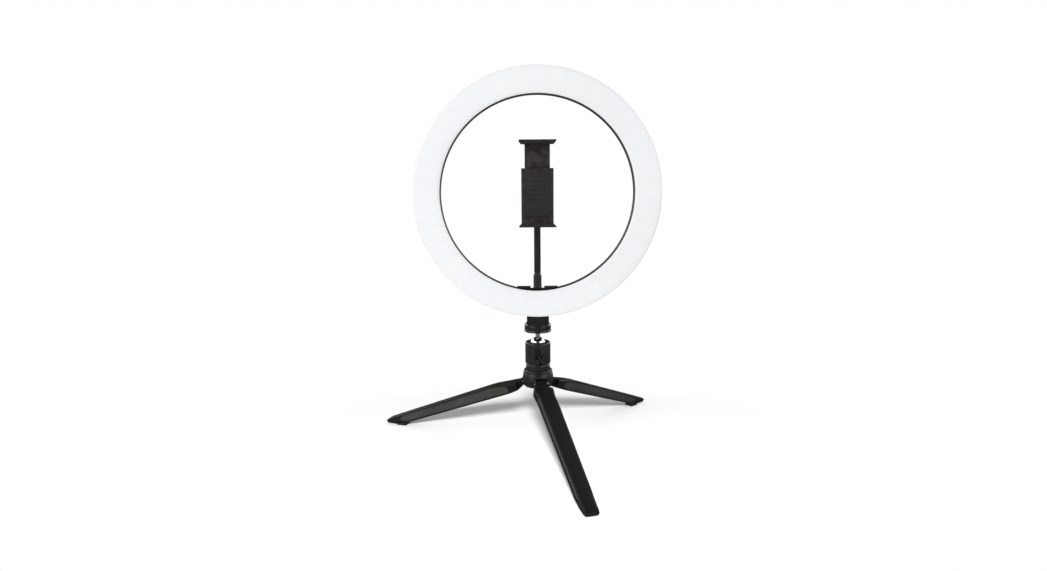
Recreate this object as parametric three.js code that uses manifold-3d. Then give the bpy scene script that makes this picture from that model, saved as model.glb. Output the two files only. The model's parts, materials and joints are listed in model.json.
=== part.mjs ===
// Desk ring light: a 260 mm light ring with a phone clamp in its opening, on a ball head and
// a folding mini tripod.
// Millimetres, +Z up. The light faces -Y, so front is -Y and back is +Y. The origin is on the
// floor under the middle of the bounding box; every dimension below is taken from the vertical
// axis of the tripod hub, which stands at AXIS_X, AXIS_Y.
import * as THREE from "three";
import { mergeVertices } from "three/addons/utils/BufferGeometryUtils.js";
import Module from "manifold-3d";

const AXIS_X = 19.4001;
const AXIS_Y = 26.0517;

// ---------- driving dimensions ----------
// light ring
const RING_Z = 270; // height of the ring's centre
const RING_R = 130; // outer radius of the housing
const RING_RI = 101.6; // radius of the housing's inner wall
const RING_SEG = 48; // facets round the ring
// screws between the ring and the block under it
const BLOCK_SCREW_X = 8;
const BLOCK_SCREW_Y = -3;
// stalk
const STALK_BORE_R = 2; // hole of the stalk's stud
// hinge pins and screw of the tripod
const PIN_R = 1.5;
const PIN_BORE_R = PIN_R + 0.12;
const LEG_AT = [282.75, 42.75, 162.75]; // azimuths, degrees
const LEG_PIVOT_R = 14;
const LEG_PIVOT_Z = 67;
const NECK_HALF = 6; // half-width of a leg at its hinge

// ---------- solids ----------
const wasm = await Module();
wasm.setup();
const { Manifold, Mesh } = wasm;
const { degToRad, radToDeg, lerp } = THREE.MathUtils;
const SIDES = [-1, 1];

// A closed three.js geometry as a manifold solid, turned right side out if need be.
function solid(geometry) {
  geometry.deleteAttribute("normal");
  geometry.deleteAttribute("uv");
  const merged = mergeVertices(geometry, 1e-4);
  const index = merged.index.array;
  const triangles = [];
  for (let i = 0; i < index.length; i += 3) {
    const [a, b, c] = index.slice(i, i + 3);
    if (a !== b && b !== c && c !== a) triangles.push(a, b, c);
  }
  const build = () =>
    new Manifold(
      new Mesh({
        numProp: 3,
        vertProperties: new Float32Array(merged.attributes.position.array),
        triVerts: new Uint32Array(triangles),
      }),
    );
  const result = build();
  if (result.volume() >= 0) return result;
  triangles.reverse();
  return build();
}

// A manifold solid as a three.js geometry with flat-shaded faces.
function geometryOf(shape) {
  const mesh = shape.getMesh();
  const geometry = new THREE.BufferGeometry();
  geometry.setAttribute("position", new THREE.BufferAttribute(mesh.vertProperties, 3));
  geometry.setIndex(new THREE.BufferAttribute(new Uint32Array(mesh.triVerts), 1));
  const flat = geometry.toNonIndexed();
  flat.computeVertexNormals();
  return flat;
}

const join = (body, parts) => parts.reduce((sum, part) => sum.add(part), body);
const cut = (body, cutters) => cutters.reduce((rest, cutter) => rest.subtract(cutter), body);

// A box between two opposite corners, given in any order.
function box([x0, y0, z0], [x1, y1, z1]) {
  const geometry = new THREE.BoxGeometry(
    Math.abs(x1 - x0),
    Math.abs(y1 - y0),
    Math.abs(z1 - z0),
  );
  geometry.translate((x0 + x1) / 2, (y0 + y1) / 2, (z0 + z1) / 2);
  return solid(geometry);
}

const vectors = (points) => points.map(([x, y]) => new THREE.Vector2(x, y));

// Turned about Z: profile points are [radius, z].
function turnedZ(profile, segments) {
  const geometry = new THREE.LatheGeometry(vectors(profile), segments);
  geometry.rotateX(Math.PI / 2);
  return solid(geometry);
}

// Turned about an axis along Y through [x, z]: profile points are [radius, y].
function turnedY(profile, segments, [x, z] = [0, 0]) {
  const geometry = new THREE.LatheGeometry(vectors(profile), segments);
  geometry.translate(x, 0, z);
  return solid(geometry);
}

// A cylinder along Z at [x, y].
function cylZ(radius, z0, z1, segments, [x, y] = [0, 0]) {
  const geometry = new THREE.CylinderGeometry(radius, radius, z1 - z0, segments);
  geometry.rotateX(Math.PI / 2);
  geometry.translate(x, y, (z0 + z1) / 2);
  return solid(geometry);
}

// A cylinder along Y at [x, z].
function cylY(radius, y0, y1, segments, [x, z] = [0, 0]) {
  const geometry = new THREE.CylinderGeometry(radius, radius, y1 - y0, segments);
  geometry.translate(x, (y0 + y1) / 2, z);
  return solid(geometry);
}

function extruded(outline, depth) {
  const shape = new THREE.Shape(vectors(outline));
  return new THREE.ExtrudeGeometry(shape, { depth, bevelEnabled: false });
}

// A flat outline in X and Z, carried along Y.
function slabXZ(outline, y0, y1) {
  const geometry = extruded(outline, y1 - y0);
  geometry.rotateX(Math.PI / 2); // (x, y, z) becomes (x, -z, y)
  geometry.translate(0, y1, 0);
  return solid(geometry);
}

// A flat outline in X and Y, carried along Z.
function slabXY(outline, z0, z1) {
  const geometry = extruded(outline, z1 - z0);
  geometry.translate(0, 0, z0);
  return solid(geometry);
}

// Closed profile of a plain ring, for turning.
const ringProfile = (inner, outer, low, high) => [
  [inner, low], [outer, low], [outer, high], [inner, high], [inner, low],
];

// Profile points on a ball centred on the Z axis; angles in degrees from its top.
const ballArc = (radius, centreZ, from, to, steps) =>
  Array.from({ length: steps + 1 }, (_, i) => {
    const angle = degToRad(lerp(from, to, i / steps));
    return [radius * Math.sin(angle), centreZ + radius * Math.cos(angle)];
  });

// Half an outline followed by its mirror image, whose coordinates are times signX and signY.
const withMirror = (half, signX, signY) => [
  ...half,
  ...half.map(([x, y]) => [signX * x, signY * y]).reverse(),
];

// A point in X and Z at an angle from +X towards +Z about the ring's centre.
const onRing = (deg, radius) => [
  radius * Math.cos(degToRad(deg)),
  radius * Math.sin(degToRad(deg)),
];
// A solid made at +X, carried round the ring's centre to such an angle.
const carriedTo = (deg, shape) => shape.rotate([0, -deg, 0]);

// A disc concentric with the ring, for fitting parts to its walls.
const ringDisc = (radius) =>
  turnedY([[0, -20], [radius, -20], [radius, 20], [0, 20]], RING_SEG * 2, [0, RING_Z]);

// ---------- materials and pieces ----------
const finishes = {
  blackPlastic: { color: 0x17171a, roughness: 0.45, metalness: 0 },
  shellPlastic: { color: 0x1c1c1f, roughness: 0.5, metalness: 0 },
  diffuser: { color: 0xf4f7fa, roughness: 0.35, metalness: 0 },
  rubber: { color: 0x141414, roughness: 0.9, metalness: 0 },
  chrome: { color: 0xd8dade, roughness: 0.08, metalness: 1 },
  steel: { color: 0x9b9ea3, roughness: 0.3, metalness: 1 },
  brass: { color: 0xb5933f, roughness: 0.35, metalness: 1 },
  board: { color: 0xe9ece6, roughness: 0.55, metalness: 0 },
  greenBoard: { color: 0x1e5a36, roughness: 0.5, metalness: 0 },
  jawPlastic: { color: 0x2a2322, roughness: 0.5, metalness: 0 },
  wire: { color: 0x8a1f1f, roughness: 0.6, metalness: 0 },
};

function addPiece(parent, name, finish, shape) {
  const material = new THREE.MeshStandardMaterial(finishes[finish]);
  const mesh = new THREE.Mesh(geometryOf(shape), material);
  mesh.name = name;
  parent.add(mesh);
  return mesh;
}

function addGroup(parent) {
  const group = new THREE.Group();
  parent.add(group);
  return group;
}

const root = new THREE.Group();
const model = addGroup(root);
model.position.set(AXIS_X, AXIS_Y, 0);

// ---------- tripod hub ----------
const HUB_TOP = 80;
const HUB_WAIST = 68.6; // height of the widest part
const HUB_BOTTOM = 61.4;
const HUB_R_TOP = 15.6;
const HUB_R_WAIST = 17.1;
const HUB_RECESS_R = 13.3; // recess in the top for the ball head
const HUB_RECESS_Z = 74;
const LEG_SLOT_IN = 8.4; // inner end of a leg's slot
const LEG_SLOT_TOP = 72.7;

const hubGroup = addGroup(model);

function hubBody() {
  const body = turnedZ(
    [
      [0, HUB_BOTTOM], [14.6, HUB_BOTTOM], [15.9, HUB_BOTTOM + 1.4],
      [HUB_R_WAIST, HUB_WAIST], [16.4, 74.5],
      [HUB_R_TOP, HUB_TOP - 1], [HUB_R_TOP - 0.8, HUB_TOP],
      [HUB_RECESS_R, HUB_TOP], [HUB_RECESS_R, HUB_RECESS_Z], [0, HUB_RECESS_Z],
    ],
    30,
  );
  // each leg's slot, open below and at the side, and its pin's bore through both cheeks
  const slotHalf = NECK_HALF + 0.3;
  const slot = box(
    [LEG_SLOT_IN, -slotHalf, HUB_BOTTOM - 1],
    [20, slotHalf, LEG_SLOT_TOP],
  );
  const pinBore = cylY(PIN_BORE_R, -8, 8, 12, [LEG_PIVOT_R, LEG_PIVOT_Z]);
  const legCuts = LEG_AT.flatMap((azimuth) =>
    [slot, pinBore].map((cutter) => cutter.rotate([0, 0, azimuth])),
  );
  // hole of the centre screw, with a counterbore for its head
  const screwHole = cylZ(2.7, HUB_BOTTOM - 1, HUB_RECESS_Z + 1, 20);
  const counterbore = cylZ(4.8, HUB_BOTTOM - 1, 66, 24);
  return cut(body, [...legCuts, screwHole, counterbore]);
}

// profiles: [radius, z]
const HUB_CAP = [
  [0, 59.3], [6.2, 59.3], [7.2, 60.1], [7.2, 61.3], [4.6, 61.3], [4.6, 62.2], [0, 62.2],
];
const CENTER_SCREW = [
  [0, 63.4], [4.5, 63.4], [4.5, 65.9], [2.45, 65.9], [2.45, 84.2], [0, 84.2],
];

addPiece(hubGroup, "hub_body", "blackPlastic", hubBody());
addPiece(hubGroup, "hub_bottom_cap", "blackPlastic", turnedZ(HUB_CAP, 20));
addPiece(hubGroup, "center_screw", "steel", turnedZ(CENTER_SCREW, 12));

// ---------- legs ----------
// A leg's own frame: +X along the leg from the hinge pin, +Z its top side, Y across.
const LEG_SLOPE = degToRad(21.6); // below horizontal, legs open
const LEG_LEN = 178.5; // pivot to the start of the rounded tip
const KNUCKLE_R = 3.9;
const POCKET_DEPTH = 1.7;
const FOOT_R0 = 161; // inner and outer ends of a foot, from the hub's axis
const FOOT_R1 = 173;
const FOOT_HALF = 5.2;

// half of the plan outline: [x, y]
const LEG_PLAN_HALF = [
  [-KNUCKLE_R - 0.2, -NECK_HALF], [8.2, -NECK_HALF], [9.4, -10.6], [13, -10.9],
  [19, -9.9], [27, -8.95], [LEG_LEN, -6.9], [LEG_LEN + 3.8, -6.4], [LEG_LEN + 5, -5],
];
// underside over the foot, nearly level with the legs open: [x, z]
const SOLE = [[157.5, -4.75], [173, -1.1], [LEG_LEN + 1.5, 1.8]];
// side outline from under the knuckle, round the tip and back along the top: [x, z]
const LEG_SIDE = [
  [8, -4.9], [9.6, -7.4], [19, -8.3], [27, -8.4],
  ...SOLE,
  [LEG_LEN + 4.4, 3.1], [LEG_LEN + 5, 4.3], [LEG_LEN + 4.4, 5.7],
  [LEG_LEN + 1.5, 6.4], [LEG_LEN - 6, 6.3],
  [42, 5.1], [34, 4.6], [20, 2.7], [9, 1.4],
];
// outline of the long pocket in each side: [x, z]
const LEG_POCKET = [
  [36, 3.4], [28, 2.2], [23.5, 0.6], [20.8, -1.6], [20.2, -3.6], [21, -5.6], [23, -6.9],
  [26, -7.3], [158, -3.5], [163, -1.8], [166, 0.8], [165.4, 3.4], [161, 4.9], [44, 3.9],
];
// the leg's side along the pocket: [x, distance from the middle]
const POCKET_SIDE = [[20, 9.9], [27, 9.05], [LEG_LEN + 6, 6.75]];

function legSolid() {
  const knuckle = [];
  for (let deg = 60; deg <= 270; deg += 21) knuckle.push(onRing(deg, KNUCKLE_R));
  const plan = slabXY(withMirror(LEG_PLAN_HALF, 1, -1), -8, 8);
  const body = plan.intersect(slabXZ([...knuckle, ...LEG_SIDE], -12, 12));

  const pocketSlab = slabXZ(LEG_POCKET, -20, 20);
  const pockets = SIDES.map((side) => {
    const floor = POCKET_SIDE.map(([x, y]) => [x, side * (y - POCKET_DEPTH)]);
    const band = [...floor, [LEG_LEN + 6, side * 12], [20, side * 12]];
    return pocketSlab.intersect(slabXY(band, -8, 8));
  });
  return cut(body, [...pockets, cylY(PIN_BORE_R, -12, 12, 12)]);
}

// Height of the sole at a radius from the hub's axis, legs open.
function soleHeight(radius) {
  const [[r0, z0], [r1, z1]] = SOLE.slice(0, 2).map(([x, z]) => [
    LEG_PIVOT_R + x * Math.cos(LEG_SLOPE) + z * Math.sin(LEG_SLOPE),
    LEG_PIVOT_Z - x * Math.sin(LEG_SLOPE) + z * Math.cos(LEG_SLOPE),
  ]);
  return z0 + ((radius - r0) * (z1 - z0)) / (r1 - r0);
}

// A foot stands on the floor and stops just under the sole.
function footSolid() {
  const topCorner = (radius) => [radius, soleHeight(radius) - 0.1];
  const outline = [
    [FOOT_R0 + 0.6, 0], [FOOT_R1 - 0.8, 0], [FOOT_R1, 0.5],
    topCorner(FOOT_R1 - 1.4), topCorner(FOOT_R0 + 1.6), [FOOT_R0, 0.6],
  ];
  return slabXZ(outline, -FOOT_HALF, FOOT_HALF);
}

const pin = cylY(PIN_R, -7.8, 7.8, 12);
const leg = legSolid();
const foot = footSolid();
LEG_AT.forEach((azimuth, i) => {
  const around = addGroup(hubGroup);
  around.rotation.z = degToRad(azimuth);
  const pinMesh = addPiece(around, `leg_pin_${i + 1}`, "steel", pin);
  pinMesh.position.set(LEG_PIVOT_R, 0, LEG_PIVOT_Z);
  const hinge = addGroup(around);
  hinge.position.set(LEG_PIVOT_R, 0, LEG_PIVOT_Z);
  hinge.rotation.y = LEG_SLOPE; // down towards the tip
  addPiece(hinge, `leg_${i + 1}`, "blackPlastic", leg);
  addPiece(around, `foot_pad_${i + 1}`, "rubber", foot);
});

// ---------- ball head ----------
const BASE_R = 13.1;
const BASE_BOTTOM = HUB_RECESS_Z + 0.3;
const SPIGOT_R = 9.1; // top of the base, inside the housing
const HEAD_R = 13.8;
const HEAD_BOTTOM = 87;
const HEAD_TOP = 111;
const HEAD_BORE_R = 9.3;
const LIP_R = 8.25; // mouth of the housing, narrower than the ball
const BALL_Z = 107.5;
const BALL_R = 8.5;
const CUP_R = BALL_R + 0.35; // hollow under the lip
const SEAT_R = BALL_R + 0.2; // hollow of the seat
const STEM_R = 2.5;
const STUD_R = 3.175; // quarter-inch camera thread
const STUD_TOP = 138.4;
const DISC_R = 14.5;
const DISC_BOTTOM = 122.1;
const DISC_TOP = 131;
const DISC_BORE_R = 3.5;
const WING_Z = 98.3;
const WING_TILT = 20.9; // degrees from upright at rest

const headGroup = addGroup(model);

function ballheadBase() {
  const body = turnedZ(
    [
      [0, BASE_BOTTOM], [BASE_R - 0.6, BASE_BOTTOM], [BASE_R, 75],
      [BASE_R, 85.6], [BASE_R - 0.7, 86.8],
      [SPIGOT_R, 86.8], [SPIGOT_R, 91.4], [0, 91.4],
    ],
    30,
  );
  return body.subtract(cylZ(2.6, 74, 85, 20));
}

// A cup whose lip closes over the ball above its middle.
function ballheadHousing() {
  const body = turnedZ(
    [
      [0, HEAD_BOTTOM], [HEAD_R - 0.5, HEAD_BOTTOM], [HEAD_R, HEAD_BOTTOM + 0.8],
      [HEAD_R, HEAD_TOP - 1.6], [HEAD_R - 1.2, HEAD_TOP - 0.3],
      [HEAD_R - 2, HEAD_TOP], [0, HEAD_TOP],
    ],
    30,
  );
  const hollow = [
    [0, HEAD_BOTTOM - 1],
    [HEAD_BORE_R, HEAD_BOTTOM - 1],
    [HEAD_BORE_R, BALL_Z - 2],
  ];
  for (let z = BALL_Z; z <= 110.2; z += 1.35)
    hollow.push([Math.sqrt(CUP_R ** 2 - (z - BALL_Z) ** 2), z]);
  hollow.push([LIP_R, HEAD_TOP + 0.5], [0, HEAD_TOP + 0.5]);
  const wingHole = cylY(2.95, -16, -8, 20, [0, WING_Z]);
  return cut(body, [turnedZ(hollow, 30), wingHole]);
}

function ballSeat() {
  return turnedZ(
    [
      [0, 92], [8.2, 92], [8.9, 92.8], [8.9, 102],
      ...ballArc(SEAT_R, BALL_Z, 132, 180, 4),
    ],
    24,
  );
}

// Wing screw along Y, made about its own axis: shank, boss and flat paddle.
const WING_SHANK = [
  [0, -10.9], [2.45, -10.9], [2.45, -14.3], [4.4, -14.3], [4.4, -16.6], [2.9, -18.2],
  [0, -18.2],
]; // [radius, y]
const PADDLE = {
  centreY: -20.4,
  halfY: 4.6,
  halfZ: 9.5,
  powerY: 0.75, // powers below 1 square the outline off
  powerZ: 0.8,
  depth: 2.2, // thickness between the bevels
  bevel: 0.6,
};

function wingScrew() {
  const signedPower = (value, power) => Math.sign(value) * Math.abs(value) ** power;
  const outline = [];
  for (let deg = 0; deg < 360; deg += 20) {
    const [across, up] = onRing(deg, 1);
    outline.push([
      PADDLE.centreY - PADDLE.halfY * signedPower(across, PADDLE.powerY),
      PADDLE.halfZ * signedPower(up, PADDLE.powerZ),
    ]);
  }
  const paddle = new THREE.ExtrudeGeometry(new THREE.Shape(vectors(outline)), {
    depth: PADDLE.depth,
    bevelEnabled: true,
    bevelThickness: PADDLE.bevel,
    bevelSize: PADDLE.bevel,
    bevelOffset: -PADDLE.bevel,
    bevelSegments: 1,
  });
  paddle.translate(0, 0, -PADDLE.depth / 2);
  // outline into Y and Z, thickness along X
  paddle.rotateX(Math.PI / 2);
  paddle.rotateZ(Math.PI / 2);
  return turnedY(WING_SHANK, 20).add(solid(paddle));
}

// Ball, stem and camera thread in one turned piece.
function ballStud() {
  const stemAngle = radToDeg(Math.asin(STEM_R / BALL_R));
  return turnedZ(
    [
      ...ballArc(BALL_R, BALL_Z, 180, stemAngle, 11),
      [STEM_R, 121.2], [4.6, 121.2], [4.6, 121.8], [STUD_R, 121.8],
      [STUD_R, STUD_TOP - 0.8], [STUD_R - 0.8, STUD_TOP], [0, STUD_TOP],
    ],
    20,
  );
}

function lockDisc() {
  return turnedZ(
    [
      [DISC_BORE_R, DISC_BOTTOM], [DISC_R - 0.4, DISC_BOTTOM],
      [DISC_R + 0.3, DISC_BOTTOM + 0.7], [DISC_R, DISC_BOTTOM + 1.9],
      [DISC_R - 0.2, DISC_TOP - 1.5], [DISC_R - 1.4, DISC_TOP],
      [DISC_BORE_R, DISC_TOP], [DISC_BORE_R, DISC_BOTTOM],
    ],
    36,
  );
}

addPiece(headGroup, "ballhead_base", "blackPlastic", ballheadBase());
addPiece(headGroup, "ballhead_housing", "blackPlastic", ballheadHousing());
addPiece(headGroup, "ball_seat", "blackPlastic", ballSeat());
addPiece(headGroup, "lock_pad", "brass", cylY(2.75, -10.7, -9.25, 16, [0, WING_Z]));
const wingMesh = addPiece(headGroup, "wing_screw", "blackPlastic", wingScrew());
wingMesh.position.set(0, 0, WING_Z);
wingMesh.rotation.y = degToRad(-WING_TILT);
addPiece(headGroup, "ball_stud", "chrome", ballStud());
addPiece(headGroup, "lock_disc", "blackPlastic", lockDisc());
const platformPad = turnedZ(ringProfile(3.6, 12.6, DISC_TOP + 0.05, DISC_TOP + 1), 28);
addPiece(headGroup, "platform_pad", "rubber", platformPad);

// ---------- light ring ----------
// Pieces of the ring are made about its centre.
const RING_FRONT = -14; // crown of the diffuser
const RING_BACK = 6; // back face of the housing
const RIM_Y = -11.2; // front edges of the housing's two walls
const WALL = 1.8; // housing wall
const LED_R = 116; // pitch radius of the LEDs and of the case screws
const LED_COUNT = 36;
const LED_HALF = 1.4;
const CASE_SCREW_AT = [30, 90, 150, 210, 330]; // degrees from +X towards +Z
const BUTTONS = { power: 234, mode: 240, dim: 246, bright: 252 }; // degrees
const BUTTON_AT = Object.values(BUTTONS);
const BUTTON_R = 116;
const SWITCH_HALF = 2.2;
const CHIP_AT = 266;
const SOCKET_AT = 287;
const LEAD_AT = 222.5;

const ringGroup = addGroup(model);
ringGroup.position.z = RING_Z;

const atCaseScrews = (make) => CASE_SCREW_AT.map((deg) => make(onRing(deg, LED_R)));

function rearHousing() {
  const inner = RING_RI + WALL;
  const outer = RING_R - WALL;
  const body = turnedY(
    [
      [RING_R, RIM_Y], [RING_R, 2], [RING_R - 1.3, 5], [RING_R - 4, RING_BACK],
      [RING_RI + 4, RING_BACK], [RING_RI + 1.3, 5], [RING_RI, 2], [RING_RI, RIM_Y],
      [inner, RIM_Y], [inner, 3], [inner + 1, 4],
      [outer - 1, 4], [outer, 3], [outer, RIM_Y], [RING_R, RIM_Y],
    ],
    RING_SEG,
  );
  const socketMouth = box([120, 0.3, -4.85], [134, 3.75, 4.85]);
  return cut(body, [
    ...atCaseScrews((at) => cylY(1.4, 3, 7, 8, at)),
    ...atCaseScrews((at) => cylY(2.8, 4.9, 7, 10, at)), // recesses of the heads
    ...BUTTON_AT.map((deg) => cylY(3.25, 3, 7, 12, onRing(deg, BUTTON_R))),
    carriedTo(SOCKET_AT, socketMouth),
    // block screws through the outer wall
    ...SIDES.map((side) =>
      cylZ(1.3, -134, -125, 12, [side * BLOCK_SCREW_X, BLOCK_SCREW_Y]),
    ),
    // stalk's stud through the inner wall
    cylZ(STALK_BORE_R, -106, -99, 16),
  ]);
}

// A front plate with a lip inside each housing wall, and a post for each case screw.
function diffuser() {
  const edgeY = RIM_Y - 0.1;
  const body = turnedY(
    [
      [RING_RI + 0.3, edgeY], [RING_RI + 0.3, -12.7], [RING_RI + 2.4, -13.7],
      [RING_RI + 8.4, RING_FRONT], [RING_R - 8.5, RING_FRONT],
      [RING_R - 2.6, -13.7], [RING_R - 0.6, -12.7], [RING_R - 0.6, edgeY],
      [RING_R - 2.1, edgeY], [RING_R - 2.1, -9.6], [RING_R - 3.3, -9.6],
      [RING_R - 3.3, -12.3], [RING_RI + 3.3, -12.3],
      [RING_RI + 3.3, -9.6], [RING_RI + 2.1, -9.6], [RING_RI + 2.1, edgeY],
      [RING_RI + 0.3, edgeY],
    ],
    RING_SEG,
  );
  const posts = atCaseScrews((at) => cylY(2.6, -12.6, 3.8, 8, at));
  const bores = atCaseScrews((at) => cylY(1.25, -6, 4, 8, at));
  return cut(join(body, posts), bores);
}

function ledBoard() {
  const plate = turnedY(ringProfile(106, 125.6, -2, -0.5), RING_SEG);
  const postHoles = atCaseScrews((at) => cylY(3.1, -4, 2, 8, at));
  const led = box([LED_R - LED_HALF, -2.9, -LED_HALF], [LED_R + LED_HALF, -1.8, LED_HALF]);
  const leds = Array.from({ length: LED_COUNT }, (_, i) =>
    carriedTo(((i + 0.5) * 360) / LED_COUNT, led),
  );
  return join(cut(plate, postHoles), leds);
}

// Curved board with the four switches and a driver chip.
function controlBoard() {
  const outer = [];
  const inner = [];
  for (let deg = 228; deg <= 292; deg += 8) {
    outer.push(onRing(deg, 121));
    inner.unshift(onRing(deg, 110.5));
  }
  const switchBox = box(
    [BUTTON_R - SWITCH_HALF, 1, -SWITCH_HALF],
    [BUTTON_R + SWITCH_HALF, 2.55, SWITCH_HALF],
  );
  const chip = box([LED_R - 3, 1, -4], [LED_R + 3, 2.6, 4]);
  return join(slabXZ([...outer, ...inner], 0.2, 1.1), [
    ...BUTTON_AT.map((deg) => carriedTo(deg, switchBox)),
    carriedTo(CHIP_AT, chip),
  ]);
}

// A flat metal shell, open outwards, with its tongue.
function powerSocket() {
  const shell = box([121.4, 0.5, -4.5], [129.6, 3.6, 4.5]);
  const hollow = box([123.4, 0.85, -4.1], [131, 3.25, 4.1]);
  const tongue = box([122.8, 1.7, -3.2], [128.4, 2.4, 3.2]);
  return carriedTo(SOCKET_AT, shell.subtract(hollow).add(tongue));
}

// profiles: [radius, y]
const CASE_SCREW = [
  [0, -4.5], [1.05, -4], [1.05, 5], [2.4, 5], [2.4, 5.7], [1.8, 5.95], [0, 5.95],
];
const BUTTON = [
  [0, 3.3], [3.9, 3.3], [3.9, 3.9], [2.95, 3.9], [2.95, 6.7], [2.4, 7.2], [0, 7.3],
];
// course of the lead between the two boards, before it is turned and placed: [x, y, z]
const LEAD_PATH = [
  [0, -0.15, 0], [1.4, -0.15, 0.4], [3.6, 0.1, 0.2],
  [5.6, 1.9, 0], [8, 2.6, 0], [10.5, 2.6, 0],
];

function ledLead() {
  const section = new THREE.Shape();
  section.absarc(0, 0, 0.28, 0, 2 * Math.PI);
  const points = LEAD_PATH.map((point) => new THREE.Vector3(...point));
  const geometry = new THREE.ExtrudeGeometry(section, {
    steps: 8,
    curveSegments: 3,
    extrudePath: new THREE.CatmullRomCurve3(points),
    bevelEnabled: false,
  });
  const [x, z] = onRing(LEAD_AT, LED_R);
  return solid(geometry).rotate([0, 47, 0]).translate([x, 0, z]);
}

addPiece(ringGroup, "rear_housing", "shellPlastic", rearHousing());
addPiece(ringGroup, "diffuser", "diffuser", diffuser());
addPiece(ringGroup, "led_board", "board", ledBoard());
addPiece(ringGroup, "control_board", "greenBoard", controlBoard());
addPiece(ringGroup, "power_socket", "steel", powerSocket());
atCaseScrews((at) => turnedY(CASE_SCREW, 8, at)).forEach((screw, i) => {
  addPiece(ringGroup, `case_screw_${i + 1}`, "steel", screw);
});
for (const [name, deg] of Object.entries(BUTTONS)) {
  const button = turnedY(BUTTON, 12, onRing(deg, BUTTON_R));
  addPiece(ringGroup, `button_${name}`, "rubber", button);
}
addPiece(ringGroup, "led_lead", "wire", ledLead());

// ---------- mount block under the ring ----------
const BLOCK_HALF = 11.8;
const BLOCK_FRONT = -11;
const BLOCK_BACK = 5;
const BLOCK_BOTTOM = 132.15;
const RING_BOTTOM = RING_Z - RING_R;

const blockGroup = addGroup(model);

// The top is hollowed to the ring's outer wall.
function mountBlock() {
  const body = box(
    [-BLOCK_HALF, BLOCK_FRONT, BLOCK_BOTTOM],
    [BLOCK_HALF, BLOCK_BACK, RING_BOTTOM + 3],
  );
  return cut(body, [
    ringDisc(RING_R + 0.15),
    cylZ(4.6, BLOCK_BOTTOM - 1, RING_BOTTOM + 1, 24), // bore of the insert
    ...SIDES.map((side) =>
      cylZ(1.15, 134.5, 143, 12, [side * BLOCK_SCREW_X, BLOCK_SCREW_Y]),
    ),
  ]);
}

const BLOCK_SCREW = [
  [0, 135.2], [0.95, 135.6], [0.95, 142.75], [2.3, 142.75], [2.3, 143.9], [0, 144.1],
]; // [radius, z]

addPiece(blockGroup, "mount_block", "shellPlastic", mountBlock());
const insert = turnedZ(ringProfile(3.5, 4.45, 132.5, 139.2), 16);
addPiece(blockGroup, "threaded_insert", "brass", insert);
SIDES.forEach((side, i) => {
  const screw = turnedZ(BLOCK_SCREW, 12).translate([side * BLOCK_SCREW_X, BLOCK_SCREW_Y, 0]);
  addPiece(blockGroup, `block_screw_${i + 1}`, "steel", screw);
});

// ---------- shelf and stalk inside the ring ----------
const SHELF_TOP = 171.3;
const SHELF_HALF = 26;
const NOTCH_HALF = 7.4;
const NOTCH_Z = 169.2; // floor of the notch under the sleeve
const SLEEVE_R = 4.35;
const SLEEVE_TOP = 184.3;
const ROD_R = 3.55;
const ROD_NECK_R = 2.6;
const CLAMP_BALL_Z = 272; // centre of the stalk's ball
const CLAMP_BALL_R = 6;

const stalkGroup = addGroup(model);

// The underside follows the ring's inner wall.
function holderShelf() {
  const body = box([-SHELF_HALF, -10.8, 160], [SHELF_HALF, 4.6, SHELF_TOP]);
  return cut(body.intersect(ringDisc(RING_RI - 0.45)), [
    box([-NOTCH_HALF, -12, NOTCH_Z], [NOTCH_HALF, 6, SHELF_TOP + 1]),
    cylZ(STALK_BORE_R, 160, 175, 16),
  ]);
}

function stalkSleeve() {
  const flangeR = SLEEVE_R + 0.5;
  const boreR = ROD_R + 0.1;
  return turnedZ(
    [
      [0, 165.6], [1.8, 165.6], [1.8, NOTCH_Z + 0.1],
      [flangeR, NOTCH_Z + 0.1], [flangeR, NOTCH_Z + 1], [SLEEVE_R, NOTCH_Z + 1.6],
      [SLEEVE_R, SLEEVE_TOP - 0.8], [SLEEVE_R - 0.5, SLEEVE_TOP],
      [boreR, SLEEVE_TOP], [boreR, 172.4], [0, 172.4],
    ],
    20,
  );
}

function stalkRod() {
  const neckAngle = 180 - radToDeg(Math.asin(ROD_NECK_R / CLAMP_BALL_R));
  return turnedZ(
    [
      [0, 172.6], [ROD_R, 172.6], [ROD_R, 257.5], [ROD_NECK_R, 261],
      ...ballArc(CLAMP_BALL_R, CLAMP_BALL_Z, neckAngle, 0, 7),
    ],
    20,
  );
}

addPiece(stalkGroup, "holder_shelf", "shellPlastic", holderShelf());
addPiece(stalkGroup, "stalk_sleeve", "blackPlastic", stalkSleeve());
addPiece(stalkGroup, "stalk_rod", "blackPlastic", stalkRod());

// ---------- ball joint of the phone clamp ----------
const PIVOT_Z = 278.5; // axis on which the clamp turns from landscape to portrait
const CAP_INNER_R = CLAMP_BALL_R + 0.16;
const CAP_OUTER_R = CLAMP_BALL_R + 1.1;
const SOCKET_CAVITY_R = CLAMP_BALL_R + 1.35;

const clampGroup = addGroup(model);

// Friction cap over the ball.
function clampBallSeat() {
  return turnedZ(
    [
      ...ballArc(CAP_INNER_R, CLAMP_BALL_Z, 0, 75, 5),
      ...ballArc(CAP_OUTER_R, CLAMP_BALL_Z, 75, 0, 5),
    ],
    18,
  );
}

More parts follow.
